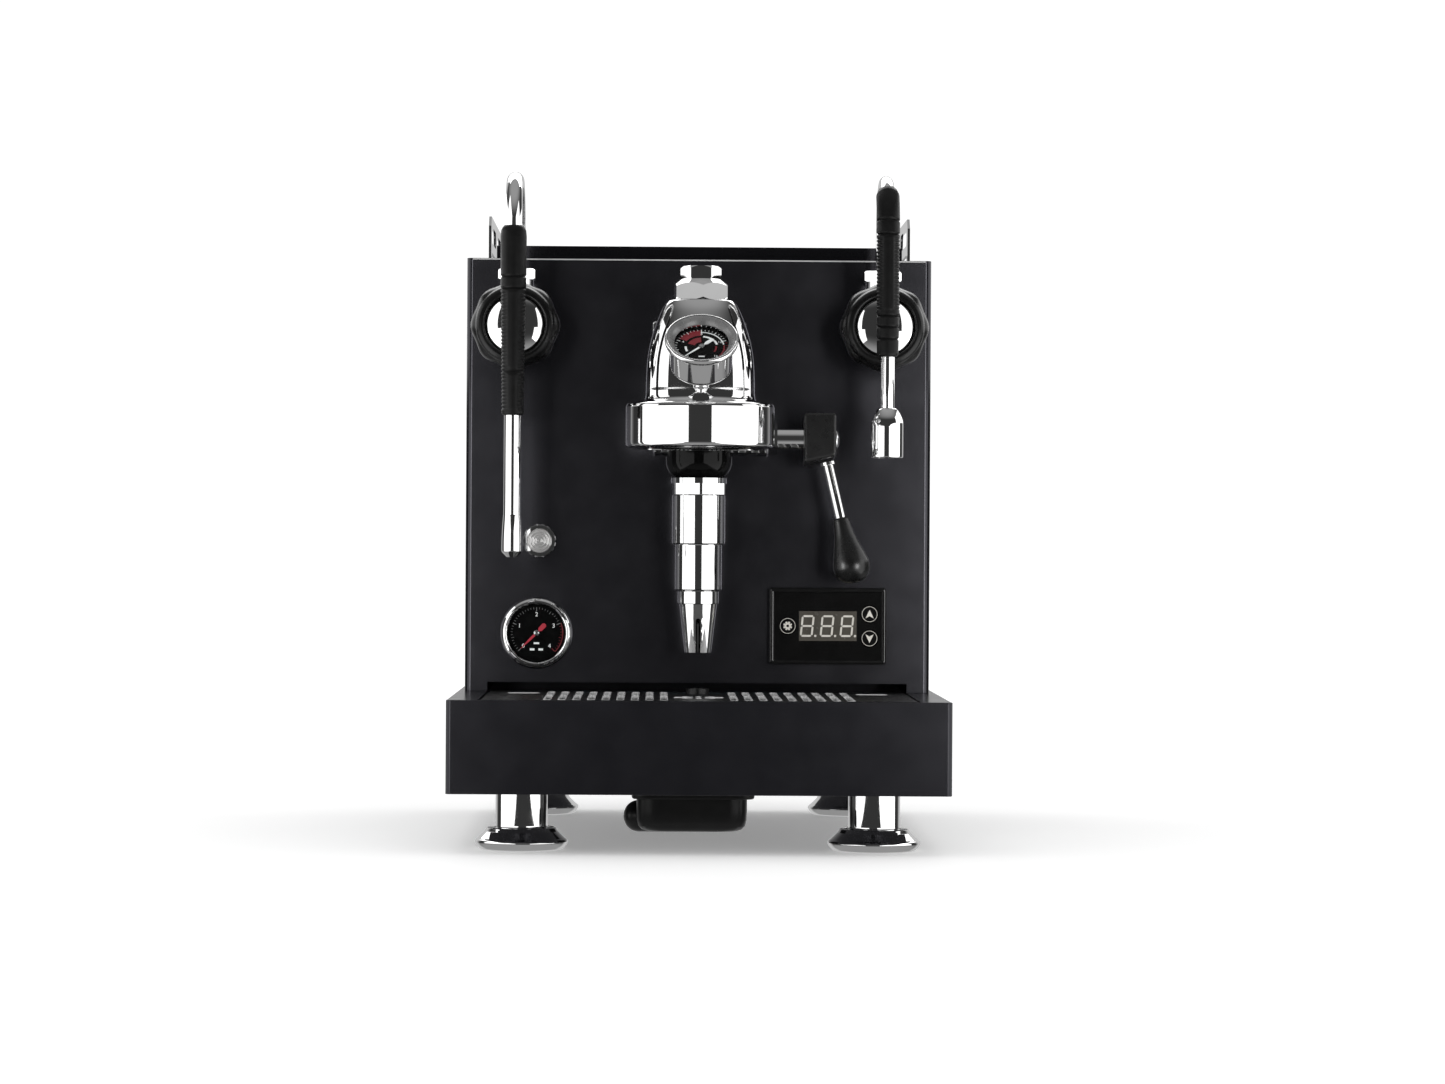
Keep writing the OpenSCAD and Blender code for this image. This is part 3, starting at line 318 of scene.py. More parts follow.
def rounded_box(low, high, radius, segments=4):
    """Box between two corners, its edges rounded to a radius."""
    shape = bmesh.new()
    bmesh.ops.create_cube(shape, size=1)
    size = [b - a for a, b in zip(low, high)]
    for v in shape.verts:
        v.co = Vector([a + (c + 0.5) * s for a, c, s in zip(low, v.co, size)])
    bmesh.ops.bevel(shape, geom=shape.edges[:], offset=radius, segments=segments, profile=0.5,
                    affect="EDGES", clamp_overlap=True)
    points = [tuple(v.co) for v in shape.verts]
    faces = [tuple(v.index for v in f.verts) for f in shape.faces]
    shape.free()
    return points, faces


def rounded_loop(w, d, r, steps=8):
    """Rectangle with round corners, as a loop of points."""
    loop = []
    for k, (sx, sy) in enumerate([(1, 1), (-1, 1), (-1, -1), (1, -1)]):
        for j in range(steps + 1):
            a = math.radians(90 * (k + j / steps))
            loop.append((sx * (w / 2 - r) + r * math.cos(a), sy * (d / 2 - r) + r * math.sin(a)))
    return loop


def moved(shape, matrix):
    """Shape in millimetres placed by a matrix that is in millimetres too."""
    return [tuple(matrix @ Vector(p)) for p in shape[0]], shape[1]


def shift(x, y, z):
    return Matrix.Translation((x, y, z))


def spin(degrees, axis):
    return Matrix.Rotation(math.radians(degrees), 4, axis)


def joined(*shapes):
    """Several shapes as one."""
    points, faces = [], []
    for shape_points, shape_faces in shapes:
        start = len(points)
        points += shape_points
        faces += [tuple(start + k for k in f) for f in shape_faces]
    return points, faces


def weigh_normals(thing):
    """Keeps flat and straight faces true next to small round edges."""
    normals = thing.modifiers.new("normals", "WEIGHTED_NORMAL")
    normals.keep_sharp = True
    normals.weight = 70


def piece(name, shape, material, body, at=Matrix(), replaces=(), sharp=32):
    """Makes an object of a shape, placed by a matrix in metres, riding on a body."""
    mesh = bpy.data.meshes.new(name)
    mesh.from_pydata([at @ (Vector(p) * MM) for p in shape[0]], [], shape[1])
    work = bmesh.new()
    work.from_mesh(mesh)
    bmesh.ops.remove_doubles(work, verts=work.verts, dist=1e-7)
    bmesh.ops.recalc_face_normals(work, faces=work.faces)
    work.to_mesh(mesh)
    work.free()
    mesh.polygons.foreach_set("use_smooth", [True] * len(mesh.polygons))
    mesh.set_sharp_from_angle(angle=math.radians(sharp))
    made = bpy.data.objects.new(name, mesh)
    bpy.context.scene.collection.objects.link(made)
    made.data.materials.append(material)
    weigh_normals(made)
    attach(made, body)
    if replaces:
        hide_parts(*replaces)
    return made


def soften(name, width):
    """Rounds the edges of a sheet-metal or moulded node."""
    thing = nodes[name]
    normals = thing.data.attributes.get("custom_normal")
    if normals:
        thing.data.attributes.remove(normals)
    thing.data.polygons.foreach_set("use_smooth", [True] * len(thing.data.polygons))
    weld = thing.modifiers.new("weld", "WELD")
    weld.merge_threshold = 0.01 * MM
    flats = thing.modifiers.new("flats", "DECIMATE")
    flats.decimate_type = "DISSOLVE"
    flats.angle_limit = math.radians(0.5)
    bevel = thing.modifiers.new("edges", "BEVEL")
    bevel.width = width * MM
    bevel.segments = 3
    bevel.limit_method = "ANGLE"
    bevel.angle_limit = math.radians(40)
    bevel.use_clamp_overlap = True
    weigh_normals(thing)


for name, width in {"front_panel": 0.9, "drip_tray_front": 1.3, "display_housing": 0.5}.items():
    soften(name, width)


def numeral(text, size, depth):
    """Number as a thin solid, centred on the origin."""
    curve = bpy.data.curves.new("numeral", "FONT")
    curve.body = text
    curve.size = size
    curve.align_x = "CENTER"
    curve.align_y = "CENTER"
    curve.extrude = depth / 2
    curve.resolution_u = 3
    holder = bpy.data.objects.new("numeral", curve)
    bpy.context.scene.collection.objects.link(holder)
    mesh = bpy.data.meshes.new_from_object(holder.evaluated_get(bpy.context.evaluated_depsgraph_get()))
    shape = [tuple(v.co) for v in mesh.vertices], [tuple(p.vertices) for p in mesh.polygons]
    bpy.data.objects.remove(holder)
    bpy.data.curves.remove(curve)
    bpy.data.meshes.remove(mesh)
    return shape


# ---- Painted highlight on the front panel's edge ----

# A thin light-grey rod along the panel's upper fold, short of its corners: a painted highlight for the fold's
# edge.
EDGE_RADIUS = 0.45
EDGE_INSET = 4
EDGE_DROP = 0.75
panel_low, panel_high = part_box("front_panel")
edge_half = (panel_high.x - panel_low.x) / 2 / MM - EDGE_INSET
edge = turned([(0, -edge_half), (EDGE_RADIUS, -edge_half), (EDGE_RADIUS, edge_half), (0, edge_half)], 24)
piece("panel_edge", moved(edge, spin(90, "Y")), painted_edge_highlight, "machine",
      Matrix.Translation((0, panel_y, panel_high.z - EDGE_DROP * MM)))


# ---- Boiler gauge ----

def dial_point(radius, degrees):
    return radius * math.cos(math.radians(degrees)), radius * math.sin(math.radians(degrees))


def tick(radius, length, width, degrees, z0, z1):
    """Radial stroke that ends at a radius."""
    mark = slab([(-length, -width / 2), (0, -width / 2), (0, width / 2), (-length, width / 2)], z0, z1)
    return moved(moved(mark, shift(radius, 0, 0)), spin(degrees, "Z"))


def bar(x0, y0, x1, y1, z0, z1):
    return slab([(x0, y0), (x1, y0), (x1, y1), (x0, y1)], z0, z1)


# Both dials run clockwise from the lower left, in degrees from +X.
SWEEP_START = 225
SWEEP = 270
bezel_profile = [(0, -34), (5, -34), (5, -24), (20.8, -24), (20.8, 0), (23.6, 0),
                 *smooth([(23.7, 0.6), (23.65, 2.0), (23.1, 3.6), (22.0, 4.8), (20.9, 5.35), (19.9, 5.2),
                          (19.2, 4.4), (18.95, 3.4)]),
                 (18.9, -0.6), (18.9, -22), (0, -22)]
piece("boiler_gauge_bezel", turned(bezel_profile, 128), chrome, "machine", at_boiler_gauge,
      ["boiler_gauge_case"])

# The printed marks stand on the dial between these two heights.
mark_z = (0.2, 0.32)
ticks, red_marks = [], []
for k in range(41):
    length = 2.5 if k % 10 == 0 else 1.9 if k % 5 == 0 else 1.2
    width = 0.42 if k % 10 == 0 else 0.26
    (red_marks if k > 30 else ticks).append(
        tick(16.9, length, width, SWEEP_START - k * SWEEP / 40, *mark_z))
numerals = []
for value in range(5):
    x, y = dial_point(12.2, SWEEP_START - value * SWEEP / 4)
    numerals.append(moved(numeral(str(value), 4.0, 0.12), shift(x, y, 0.26)))
numerals += [bar(-1.8, -7.4, 1.8, -6.2, *mark_z), bar(-4.3, -11.6, -1.3, -10.2, *mark_z),
             bar(1.3, -11.6, 4.3, -10.2, *mark_z)]
red_marks.append(arc_band(17.1, 17.6, -45, 22.5, *mark_z))
piece("boiler_gauge_scale", joined(*ticks), tick_mark, "machine", at_boiler_gauge)
piece("boiler_gauge_numerals", joined(*numerals), white_mark, "machine", at_boiler_gauge)
piece("boiler_gauge_red_zone", joined(*red_marks), dark_red_mark, "machine", at_boiler_gauge)


def needle_shape(tip, neck, tail, w, z0, z1):
    """Pointer along +Y with a broad counterweight behind the hub."""
    outline = [(0.16, tip), (w * 0.5, tip * 0.45), (w * 0.55, 0), (w * 0.4, -neck), (w, -neck - 1.2),
               (w * 1.05, -tail), (w * 0.4, -tail - 0.9)]
    outline += [(-x, y) for x, y in reversed(outline)]
    return slab(outline, z0, z1)


hub = turned([(0, 0), (2.0, 0), (2.0, 0.9), *smooth([(1.8, 1.2), (1.1, 1.5), (0.5, 1.58)]), (0, 1.6)], 48)
# The needle's shape points to +Y. At rest it points to the start of the scale.
BOILER_REST = SWEEP_START - 90
boiler_needle = moved(needle_shape(14.4, 2.2, 7.4, 1.5, 1.0, 1.4), spin(BOILER_REST, "Z"))
piece("boiler_gauge_pointer", boiler_needle, red_mark, "boiler_needle", at_boiler_gauge,
      ["boiler_gauge_needle"])
piece("boiler_gauge_hub", moved(hub, shift(0, 0, 0.3)), satin_chrome, "boiler_needle",
      at_boiler_gauge)


# ---- Group gauge ----

CASE_DEPTH = 24.7
rim_profile = [(0, -CASE_DEPTH), (16.5, -CASE_DEPTH),
               *smooth([(18.0, -24.3), (19.0, -23.2), (19.5, -21.4)], 4),
               (19.5, -5.2), *smooth([(19.9, -4.8), (21.0, -4.6), (22.4, -4.2), (22.95, -3.0), (23.0, -1.6),
                                      (22.6, -0.4), (21.8, 0.0), (21.1, -0.5)]),
               (17.4, -4.6), (18.5, -4.7), (18.1, -8.9), (0, -8.95)]
piece("group_gauge_shell", turned(rim_profile, 128), chrome, "machine", at_group_gauge,
      ["group_gauge_case"])
rim_inside = turned([(21.2, -0.3), *smooth([(20.6, -0.35), (18.9, -1.9), (17.3, -4.1)], 3), (17.0, -4.2),
                     (17.0, -4.55), (17.3, -4.6)], 128)
piece("group_gauge_rim", rim_inside, rim_grey, "machine", at_group_gauge)
# The case stands on a ball, the ball on a stem, and a pipe runs from the stem back into the bell.
# The stem's foot is measured from the shower screen, the pipe's end from the bell's axis.
BALL_DEPTH = CASE_DEPTH + 8
BALL_RADIUS = 5.8
STEM_FOOT = 21
PIPE_Z = 286
PIPE_END = 34
ball = gauge_rim - gauge_out * BALL_DEPTH * MM
ball_side = [(BALL_RADIUS * math.sin(math.pi * k / 20), -BALL_RADIUS * math.cos(math.pi * k / 20))
             for k in range(1, 20)]
ball_shape = turned([(0, -BALL_RADIUS), *ball_side, (0, BALL_RADIUS)], 48)
stem_low = (bell.z - ball.z) / MM + STEM_FOOT
link = turned([(0, -9), (4, -9), *smooth([(4, -1), (4.6, 0.4), (5.6, 1.4), (6.2, 2.2)]), (0, 2.4)], 48)
piece("group_gauge_link", moved(link, shift(0, 0, -26)), chrome, "machine", at_group_gauge)
stem = turned([(0, stem_low), (3.5, stem_low), *smooth([(3.5, -9), (3.9, -7.4), (5.0, -6.4)]), (5.0, -4),
               (0, -3)], 48)
collar = moved(turned([(0, 0), (5.5, 0), (5.5, 4), (0, 4)], 6), spin(-90, "X"))
pipe_z = PIPE_Z - ball.z / MM
pipe_length = bell.y / MM - PIPE_END - ball.y / MM
pipe = turned([(0, 0), (2.8, 0), (2.8, pipe_length), (0, pipe_length)], 40)
fitting = joined(ball_shape, stem, moved(pipe, shift(0, 0, pipe_z) @ spin(-90, "X")),
                 moved(collar, shift(0, pipe_length - 3.8, pipe_z)))
piece("group_gauge_fitting", fitting, chrome, "machine", Matrix.Translation(ball))

# The marks' heights again, and those of the red zone just under them.
mark_z = (-8.0, -7.88)
zone_z = (-8.0, -7.91)
white_marks, red_marks, dark_marks = [], [], []
for k in range(33):
    length = 2.2 if k % 4 == 0 else 1.3
    degrees = SWEEP_START - k * SWEEP / 32
    (dark_marks if k > 24 else white_marks).append(
        tick(16.6, length, 0.5 if k % 4 == 0 else 0.3, degrees, *mark_z))
for value in range(5):
    x, y = dial_point(12.4, SWEEP_START - value * SWEEP / 4)
    white_marks.append(moved(numeral(str(4 * value), 2.6, 0.12), shift(x, y, -7.93)))
white_marks += [arc_band(13.6, 14.4, 92, 10, *mark_z), arc_band(9.2, 10.6, 84, 14, *mark_z),
                arc_band(9.2, 10.6, 205, 178, *mark_z), bar(-1.9, -9.6, 1.9, -8.6, *mark_z)]
red_marks += [arc_band(10.8, 15.8, 90, 150, *zone_z), arc_band(4.6, 9.0, 92, 160, *zone_z)]
dark_marks += [arc_band(13.6, 14.6, 6, -38, *mark_z), arc_band(8.6, 9.6, 4, -30, *mark_z)]
piece("group_gauge_scale", joined(*white_marks), white_mark, "machine", at_group_gauge)
piece("group_gauge_red_zone", joined(*red_marks), dark_red_mark, "machine", at_group_gauge)
piece("group_gauge_low_zone", joined(*dark_marks), dark_red_mark, "machine", at_group_gauge)
GROUP_REST = 133
group_needle = moved(needle_shape(15.0, 3.0, 9.2, 1.2, -7.4, -7.1), spin(GROUP_REST, "Z"))
piece("group_gauge_pointer", group_needle, white_mark, "group_needle", at_group_gauge,
      ["group_gauge_needle"])
piece("group_gauge_hub", moved(hub, shift(0, 0, -7.8)), satin_chrome, "group_needle",
      at_group_gauge)


# ---- Group ----

# Profiles are (radius, height above the floor). The bell is open below, with its gasket's seat inside.
NUT_HEIGHT = 21.7
RING_BOTTOM = 254.4
at_bell = Matrix.Translation((bell.x, bell.y, 0))
at_valve = Matrix.Translation((valve.x, valve.y, 0))
bell_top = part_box("group_cap_nut")[1].z / MM - NUT_HEIGHT
bell_profile = [(0, bell_top), (20.4, bell_top),
                *smooth([(21.4, bell_top - 0.6), (23.2, 346.3), (25.4, 342.2), (28.2, 335.2), (30.6, 328.2),
                         (32.5, 320.7), (33.8, 313), (34.5, 304), (34.8, 295), (34.9, 289.4), (35.6, 286.2),
                         (37.6, 284.5), (40.5, 284.05)]),
                (44.0, 284.0), *smooth([(45.6, 283.7), (46.9, 282.7), (47.5, 281.0)]),
                *smooth([(47.5, 258.2), (47.1, 256.6), (46.0, 255.6), (44.4, 255.2)]),
                *smooth([(43.6, 255.1), (42.6, 254.5), (41.6, RING_BOTTOM)]),
                (36.6, RING_BOTTOM), (36.0, 255.0), (36.0, 260), (40, 260), (40, 266), (34.9, 266),
                (34.9, 273.5), (0, 273.5)]
piece("group_bell", turned(bell_profile, 160), chrome, "machine", at_bell, ["group_body"])

# Behind the bell stands a column with the bowl at its foot, chrome painted near-black as shade under the
# ring, an arm to the bell, a neck to the flange and a gland round the lever's spindle.
BOWL_TOP = 262
bowl_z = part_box("lower_valve_nut")[1].z / MM
bowl_profile = [(0, bowl_z), (14.6, bowl_z), *smooth([(15.6, bowl_z + 0.2), (18.4, bowl_z + 2.4),
                                                      (20.4, bowl_z + 5.4), (21.5, bowl_z + 9),
                                                      (21.6, bowl_z + 12)]),
                (21.6, BOWL_TOP), (0, BOWL_TOP)]
column_profile = [(0, 257), (26, 257), (26, 322),
                  *smooth([(25.6, 324.6), (24, 326)], 4), (17.6, 326.2), (17, 327), (17, 332),
                  (16.4, 333), (0, 333)]
piece("group_bowl", turned(bowl_profile, 96), bowl_painted_shade, "machine", at_valve)
FLANGE_Z = 299
FLANGE_HALF_W = 31
FLANGE_HALF_H = 42
FLANGE_THICK = 9
arm = rounded_box((-26, -60, 274), (26, 6, 322), 7)
column = turned(column_profile, 96)
neck = turned([(0, 0), (23, 0), (23, 27.5), (0, 27.5)], 64)
gland = turned([(0, -30), (11, -30), (12, -29), (12, 44), (11, 45), (0, 45)], 72)
casting = joined(arm, column, moved(neck, shift(0, 0, FLANGE_Z) @ spin(-90, "X")),
                 moved(gland, shift(0, 0, spindle.z / MM) @ spin(90, "Y")))
piece("group_casting", casting, chrome, "machine", at_valve)
plate_y = panel_y / MM
plate = rounded_box((-FLANGE_HALF_W, plate_y - FLANGE_THICK, FLANGE_Z - FLANGE_HALF_H),
                    (FLANGE_HALF_W, plate_y, FLANGE_Z + FLANGE_HALF_H), 2.4)
piece("group_flange", plate, chrome, "machine")


# ---- Lever ----

# Degrees from upright, to the right and to the front, and millimetres from the lever to the cap's face.
LEVER_LEAN = 13
LEVER_FORWARD = 6
HUB_REACH = 11.2
hub_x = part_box("lever_hub")[1].x - HUB_REACH * MM
lever_at = Matrix.Translation((hub_x, spindle.y, spindle.z))
lean = spin(-LEVER_FORWARD, "X") @ spin(-LEVER_LEAN, "Y")
# The block's lower face rises to the right.
HUB_LEFT = -12.2
HUB_SLOPE = 0.23
block = rounded_box((HUB_LEFT, -13, -17), (8.7, 13, 16), 2.2, 5)
block = [(x, y, z + HUB_SLOPE * (x - HUB_LEFT) * (z < -4)) for x, y, z in block[0]], block[1]
piece("lever_hub_block", moved(block, spin(-LEVER_FORWARD, "X")), hub_black, "lever",
      lever_at, ["lever_hub"])
cap_edge = smooth([(6.1, 9.6), (4.4, 10.6), (2.2, 11.1), (0.6, HUB_REACH)])
cap = turned([(0, 8.2), (6.4, 8.2), (6.4, 9.0), *cap_edge, (0, HUB_REACH)], 48)
piece("lever_hub_cap", moved(cap, spin(90, "Y")), chrome, "lever", lever_at)
knob_profile = [(0, -96.4), *smooth([(1.2, -96.35), (4.2, -95.8), (7.6, -94.2), (10.4, -91.3), (11.9, -87.3),
                                     (11.9, -83.2), (10.7, -78.1), (8.9, -72.2), (7.1, -65.8), (5.9, -59.5),
                                     (5.2, -54.8), (4.9, -53.7), (4.4, -53.1)]), (0, -53.1)]
piece("lever_handle", moved(turned(knob_profile, 72), lean), knob_black, "lever", lever_at,
      ["lever_knob"])


# ---- Valve knobs ----

KNOB_LOBES = 8
KNOB_STEPS = 144


def lobed_ring(rows):
    """Closed ring of (height, radius, lobe depth) rows."""
    skin = []
    for z, radius, depth in rows:
        loop = []
        for k in range(KNOB_STEPS):
            a = k * TAU / KNOB_STEPS
            r = radius + depth * math.cos(KNOB_LOBES * a + math.pi)
            loop.append((r * math.cos(a), r * math.sin(a), z))
        skin.append(loop)
    return rings(skin)


knob_rows = [(4, 14, 0), (0.3, 14.6, 0), (0, 15.4, 0), (0, 24.6, 0.3), (0.5, 26.2, 0.5), (1.6, 27.5, 0.6),
             (3.4, 28.2, 0.7), (7, 28.4, 0.7), (10.6, 28.2, 0.7), (13.0, 27.7, 0.6), (14.8, 26.9, 0.5),
             (15.9, 26.1, 0.3), (16.5, 25.6, 0.1), (17.4, 25.3, 0), (18.6, 24.9, 0), (19.7, 24.1, 0),
             (20.5, 22.9, 0), (20.8, 21.7, 0), (20.6, 20.7, 0), (19.8, 19.9, 0), (18.4, 19.4, 0),
             (16.6, 19.2, 0), (16.3, 18.4, 0), (16.3, 4.05, 0), (4, 4.05, 0)]
DISC_INSET = 16.6
disc_profile = [(0, -0.05), (18.4, 0), (18.8, 0.6),
                *smooth([(18.4, 1.2), (17.2, 1.9), (13.6, 3.0), (9, 3.8), (4, 4.15), (1, 4.2)]), (0, 4.2)]
knob_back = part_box("steam_knob")[1].y
stem_back = (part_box("steam_stem")[1].y - knob_back) / MM
stem_front = DISC_INSET + 0.4
stem_shape = turned([(0, -stem_back), (3.95, -stem_back), (3.95, stem_front), (0, stem_front)], 40)
for side, x in {"steam": steam_x, "water": water_x}.items():
    at_knob = Matrix.Translation((x, knob_back, knob_z)) @ FRONT
    piece(f"{side}_knob_grip", moved(lobed_ring(knob_rows), spin(22.5, "Z")), knob_black,
          f"{side}_control", at_knob, [f"{side}_knob"])
    piece(f"{side}_knob_disc", joined(moved(turned(disc_profile, 96), shift(0, 0, DISC_INSET)), stem_shape),
          chrome, f"{side}_control", at_knob, [f"{side}_stem"])


# ---- Wands ----

# A sleeve's ribs run round it but for a plain strip in front. Single grooves part its sections.
RIB_PITCH = 2.35
RIB_DEPTH = 0.55
RIB_FADE = 1.2
GROOVE_DEPTH = 0.9
GROOVE_HALF = 0.55
STRIP_HALF = math.radians(30)
STRIP_FADE = math.radians(9)
STRIP_EDGE = math.radians(4.5)
GRIP_AROUND = 56
GRIP_STEP = 0.42
GRIP_INNER_ROWS = 24


def eased(t):
    t = min(1.0, max(0.0, t))
    return t * t * (3 - 2 * t)


def grip_radius(s, angle, base, grooves, ribbed):
    """Radius of a grip at a distance along it and an angle from its front strip."""
    r = base(s)
    for g in grooves:
        r -= GROOVE_DEPTH * math.exp(-((s - g) / GROOVE_HALF) ** 2)
    inside = max((eased((s - a) / RIB_FADE) * eased((b - s) / RIB_FADE) for a, b in ribbed), default=0)
    away = eased((abs(angle) - STRIP_HALF) / STRIP_FADE)
    wave = 0.5 - 0.5 * math.cos(TAU * s / RIB_PITCH)
    r -= inside * away * RIB_DEPTH * (1 - wave ** 3 * 0.15) * (1 if wave < 0.45 else 0.25)
    edge = math.exp(-((abs(angle) - STRIP_HALF) / STRIP_EDGE) ** 2)
    return r + inside * (0.25 * (1 - away) - 0.5 * edge)


def grip(path, length, bore, base, grooves, ribbed):
    """Moulded sleeve along a path that gives (centre, front, side) at a distance."""
    def loop_at(s, radius_at):
        centre, front, side = path(s)
        loop = []
        for j in range(GRIP_AROUND):
            a = j * TAU / GRIP_AROUND
            r = radius_at(a if a < math.pi else a - TAU)
            loop.append(tuple(centre + front * (r * math.cos(a)) + side * (r * math.sin(a))))
        return loop

    count = int(length / GRIP_STEP)
    skin = []
    for i in range(count + 1):
        s = length * i / count
        skin.append(loop_at(s, lambda angle: grip_radius(s, angle, base, grooves, ribbed)))
    for i in range(GRIP_INNER_ROWS, -1, -1):
        skin.append(loop_at(length * i / GRIP_INNER_ROWS, lambda angle: bore))
    return rings(skin)


def wand_path(x, z0, arc_z, arc_r):
    """Straight leg, then the swan neck over it, in millimetres."""
    leg_y = wand_y / MM
    straight = arc_z - z0

    def at(s):
        side = Vector((1, 0, 0))
        if s <= straight:
            return Vector((x, leg_y, z0 + s)), Vector((0, -1, 0)), side
        a = (s - straight) / arc_r
        out = Vector((0, -math.cos(a), math.sin(a)))
        return Vector((x, leg_y + arc_r, arc_z)) + out * arc_r, out, side
    return at


def along(knots):
    """Piecewise straight function through (position, value) knots."""
    def value(s):
        for (a, u), (b, v) in zip(knots, knots[1:]):
            if s <= b:
                return u + (v - u) * max(0.0, (s - a) / (b - a))
        return knots[-1][1]
    return value


PIPE_RADIUS = 5.5
neck_radius = (middle("steam_pipe").y - wand_y) / MM
neck_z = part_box("steam_pipe")[1].z / MM - neck_radius - PIPE_RADIUS
steam_low, steam_high = (v.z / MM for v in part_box("steam_grip"))
steam_length = steam_high - steam_low
steam_base = along([(0, 5.9), (0.8, 6.9), (2.2, 7.2), (steam_length - 40, 8.2), (steam_length - 7, 8.4),
                    (steam_length - 3.2, 8.0), (steam_length - 1.2, 7.0), (steam_length, 5.9)])
# The steam sleeve is straight: the arc of its path starts out of reach.
NO_ARC = 1000
piece("steam_wand_grip",
      grip(wand_path(steam_x / MM, steam_low, NO_ARC, neck_radius), steam_length, PIPE_RADIUS, steam_base,
           [28, 80.8, 88.5], [(3, 26.6), (29.6, 79.6)]),
      rubber, "steam_wand", replaces=["steam_grip"], sharp=60)
# The water sleeve follows the swan neck through this angle.
WATER_ARC = math.radians(50)
water_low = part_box("water_grip")[0].z / MM
water_length = neck_z - water_low + neck_radius * WATER_ARC
water_base = along([(0, 5.0), (0.8, 6.5), (2.0, 6.9), (30, 7.5), (water_length - 4, 7.5),
                    (water_length - 1, 6.6), (water_length, 4.9)])
piece("water_wand_grip",
      grip(wand_path(water_x / MM, water_low, neck_z, neck_radius), water_length, 4.5, water_base,
           [11.4, 19.0, 26.1, 78.4, 86.8], [(29.6, 77.2)]),
      rubber, "water_wand", replaces=["water_grip"], sharp=60)

tip_low, tip_high = (v.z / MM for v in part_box("steam_tip"))
tip_profile = [(0.8, tip_low), (3.2, tip_low), (5.9, tip_low + 2.7),
               *smooth([(6.5, tip_low + 3.6), (6.6, tip_low + 5), (6.55, tip_low + 12), (6.2, tip_low + 19),
                        (5.7, tip_high - 1.0), (5.6, tip_high)]),
               (3.5, tip_high), (3.5, tip_low + 6), (0.8, tip_low + 5)]
piece("steam_nozzle", turned(tip_profile, 72), chrome, "steam_wand",
      Matrix.Translation((steam_x, wand_y, 0)), ["steam_tip"])
cup_low, cup_high = (v.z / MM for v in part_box("water_spout"))
cup_lip = smooth([(9.8, cup_low), (10.2, cup_low + 0.4), (10.3, cup_low + 1.2)], 3)
cup_shoulder = smooth([(10.3, cup_high - 12), (10.15, cup_high - 9), (9.5, cup_high - 6.4),
                       (8.2, cup_high - 3.6), (6.8, cup_high - 1.4), (5.6, cup_high - 0.3), (4.6, cup_high)])
cup_profile = [(8.8, cup_low + 0.6), (9.2, cup_low), *cup_lip, *cup_shoulder,
               (4.4, cup_high), (4.4, cup_high - 11), (8.8, cup_high - 12.4)]
piece("water_outlet", turned(cup_profile, 96), chrome, "water_wand",
      Matrix.Translation((water_x, wand_y, 0)), ["water_spout"])


# ---- Display ----

def segment(length, width, z0, z1):
    """Bar with pointed ends along X."""
    half, w = length / 2, width / 2
    outline = [(-half, 0), (-half + w, w), (half - w, w), (half, 0), (half - w, -w), (-half + w, -w)]
    return slab(outline, z0, z1)


# Three eights with points, as the photograph shows them.
DIGIT_W = 7.2
DIGIT_H = 13.0
STROKE = 1.25
SLANT = 0.1
GAP = 0.5
DIGIT_PLACES = (-13.6, -0.5, 12.6)
face_z = (panel_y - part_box("display_window")[0].y) / MM
glow = (face_z, face_z + 0.12)
at_display = Matrix.Translation((display.x, panel_y, display.z)) @ FRONT
slant = Matrix(((1, SLANT, 0, 0), (0, 1, 0, 0), (0, 0, 1, 0), (0, 0, 0, 1)))
digit = [moved(segment(DIGIT_W - GAP, STROKE, *glow), shift(0, y, 0))
         for y in (-DIGIT_H / 2, 0, DIGIT_H / 2)]
for sx in (-1, 1):
    for sy in (-1, 1):
        upright = moved(segment(DIGIT_H / 2 - GAP, STROKE, *glow), spin(90, "Z"))
        digit.append(moved(upright, shift(sx * DIGIT_W / 2, sy * DIGIT_H / 4, 0)))
digit.append(moved(slab(rounded_loop(1.5, 1.5, 0.7, 4), *glow), shift(DIGIT_W / 2 + 2.4, -DIGIT_H / 2, 0)))
digits = [moved(joined(*digit), shift(x, 0, 0) @ slant) for x in DIGIT_PLACES]
piece("display_segments", joined(*digits), segment_mark, "machine", at_display)


def ring_mark(radius, width, z0, z1):
    """Thin flat ring."""
    return turned([(radius - width, z0), (radius, z0), (radius, z1), (radius - width, z1)], 64)


def toothed(teeth, low, high):
    """Outline of a gear between two radii."""
    loop = []
    for k in range(teeth):
        for part, r in ((0.05, low), (0.27, high), (0.73, high), (0.95, low)):
            a = (k + part) * TAU / teeth
            loop.append((r * math.cos(a), r * math.sin(a)))
    return loop


def face_of(node):
    """Place of a shape that lies on the middle of a node's front face."""
    low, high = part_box(node)
    return Matrix.Translation(((low.x + high.x) / 2, low.y, (low.z + high.z) / 2)) @ FRONT


ICON_DEPTH = 0.1
HOLE_RADIUS = 0.9
gear_loop = toothed(8, 2.0, 3.0)
hole_steps = len(gear_loop)
hole_angles = [(k + 0.5) * TAU / hole_steps for k in range(hole_steps)]
hole = [(HOLE_RADIUS * math.cos(a), HOLE_RADIUS * math.sin(a)) for a in hole_angles]
gear = rings([[(x, y, 0) for x, y in gear_loop], [(x, y, ICON_DEPTH) for x, y in gear_loop],
              [(x, y, ICON_DEPTH) for x, y in hole], [(x, y, 0) for x, y in hole]])
arrow = slab([(0, 3.0), (2.7, -2.7), (0, -1.3), (-2.7, -2.7)], 0, ICON_DEPTH)
for name, icon in {"set": gear, "up": arrow, "down": moved(arrow, spin(180, "Z"))}.items():
    piece(f"{name}_icon", joined(icon, ring_mark(5.1, 0.3, 0, ICON_DEPTH)), segment_mark,
          f"{name}_button", face_of(f"{name}_button"))


# ---- Power button ----

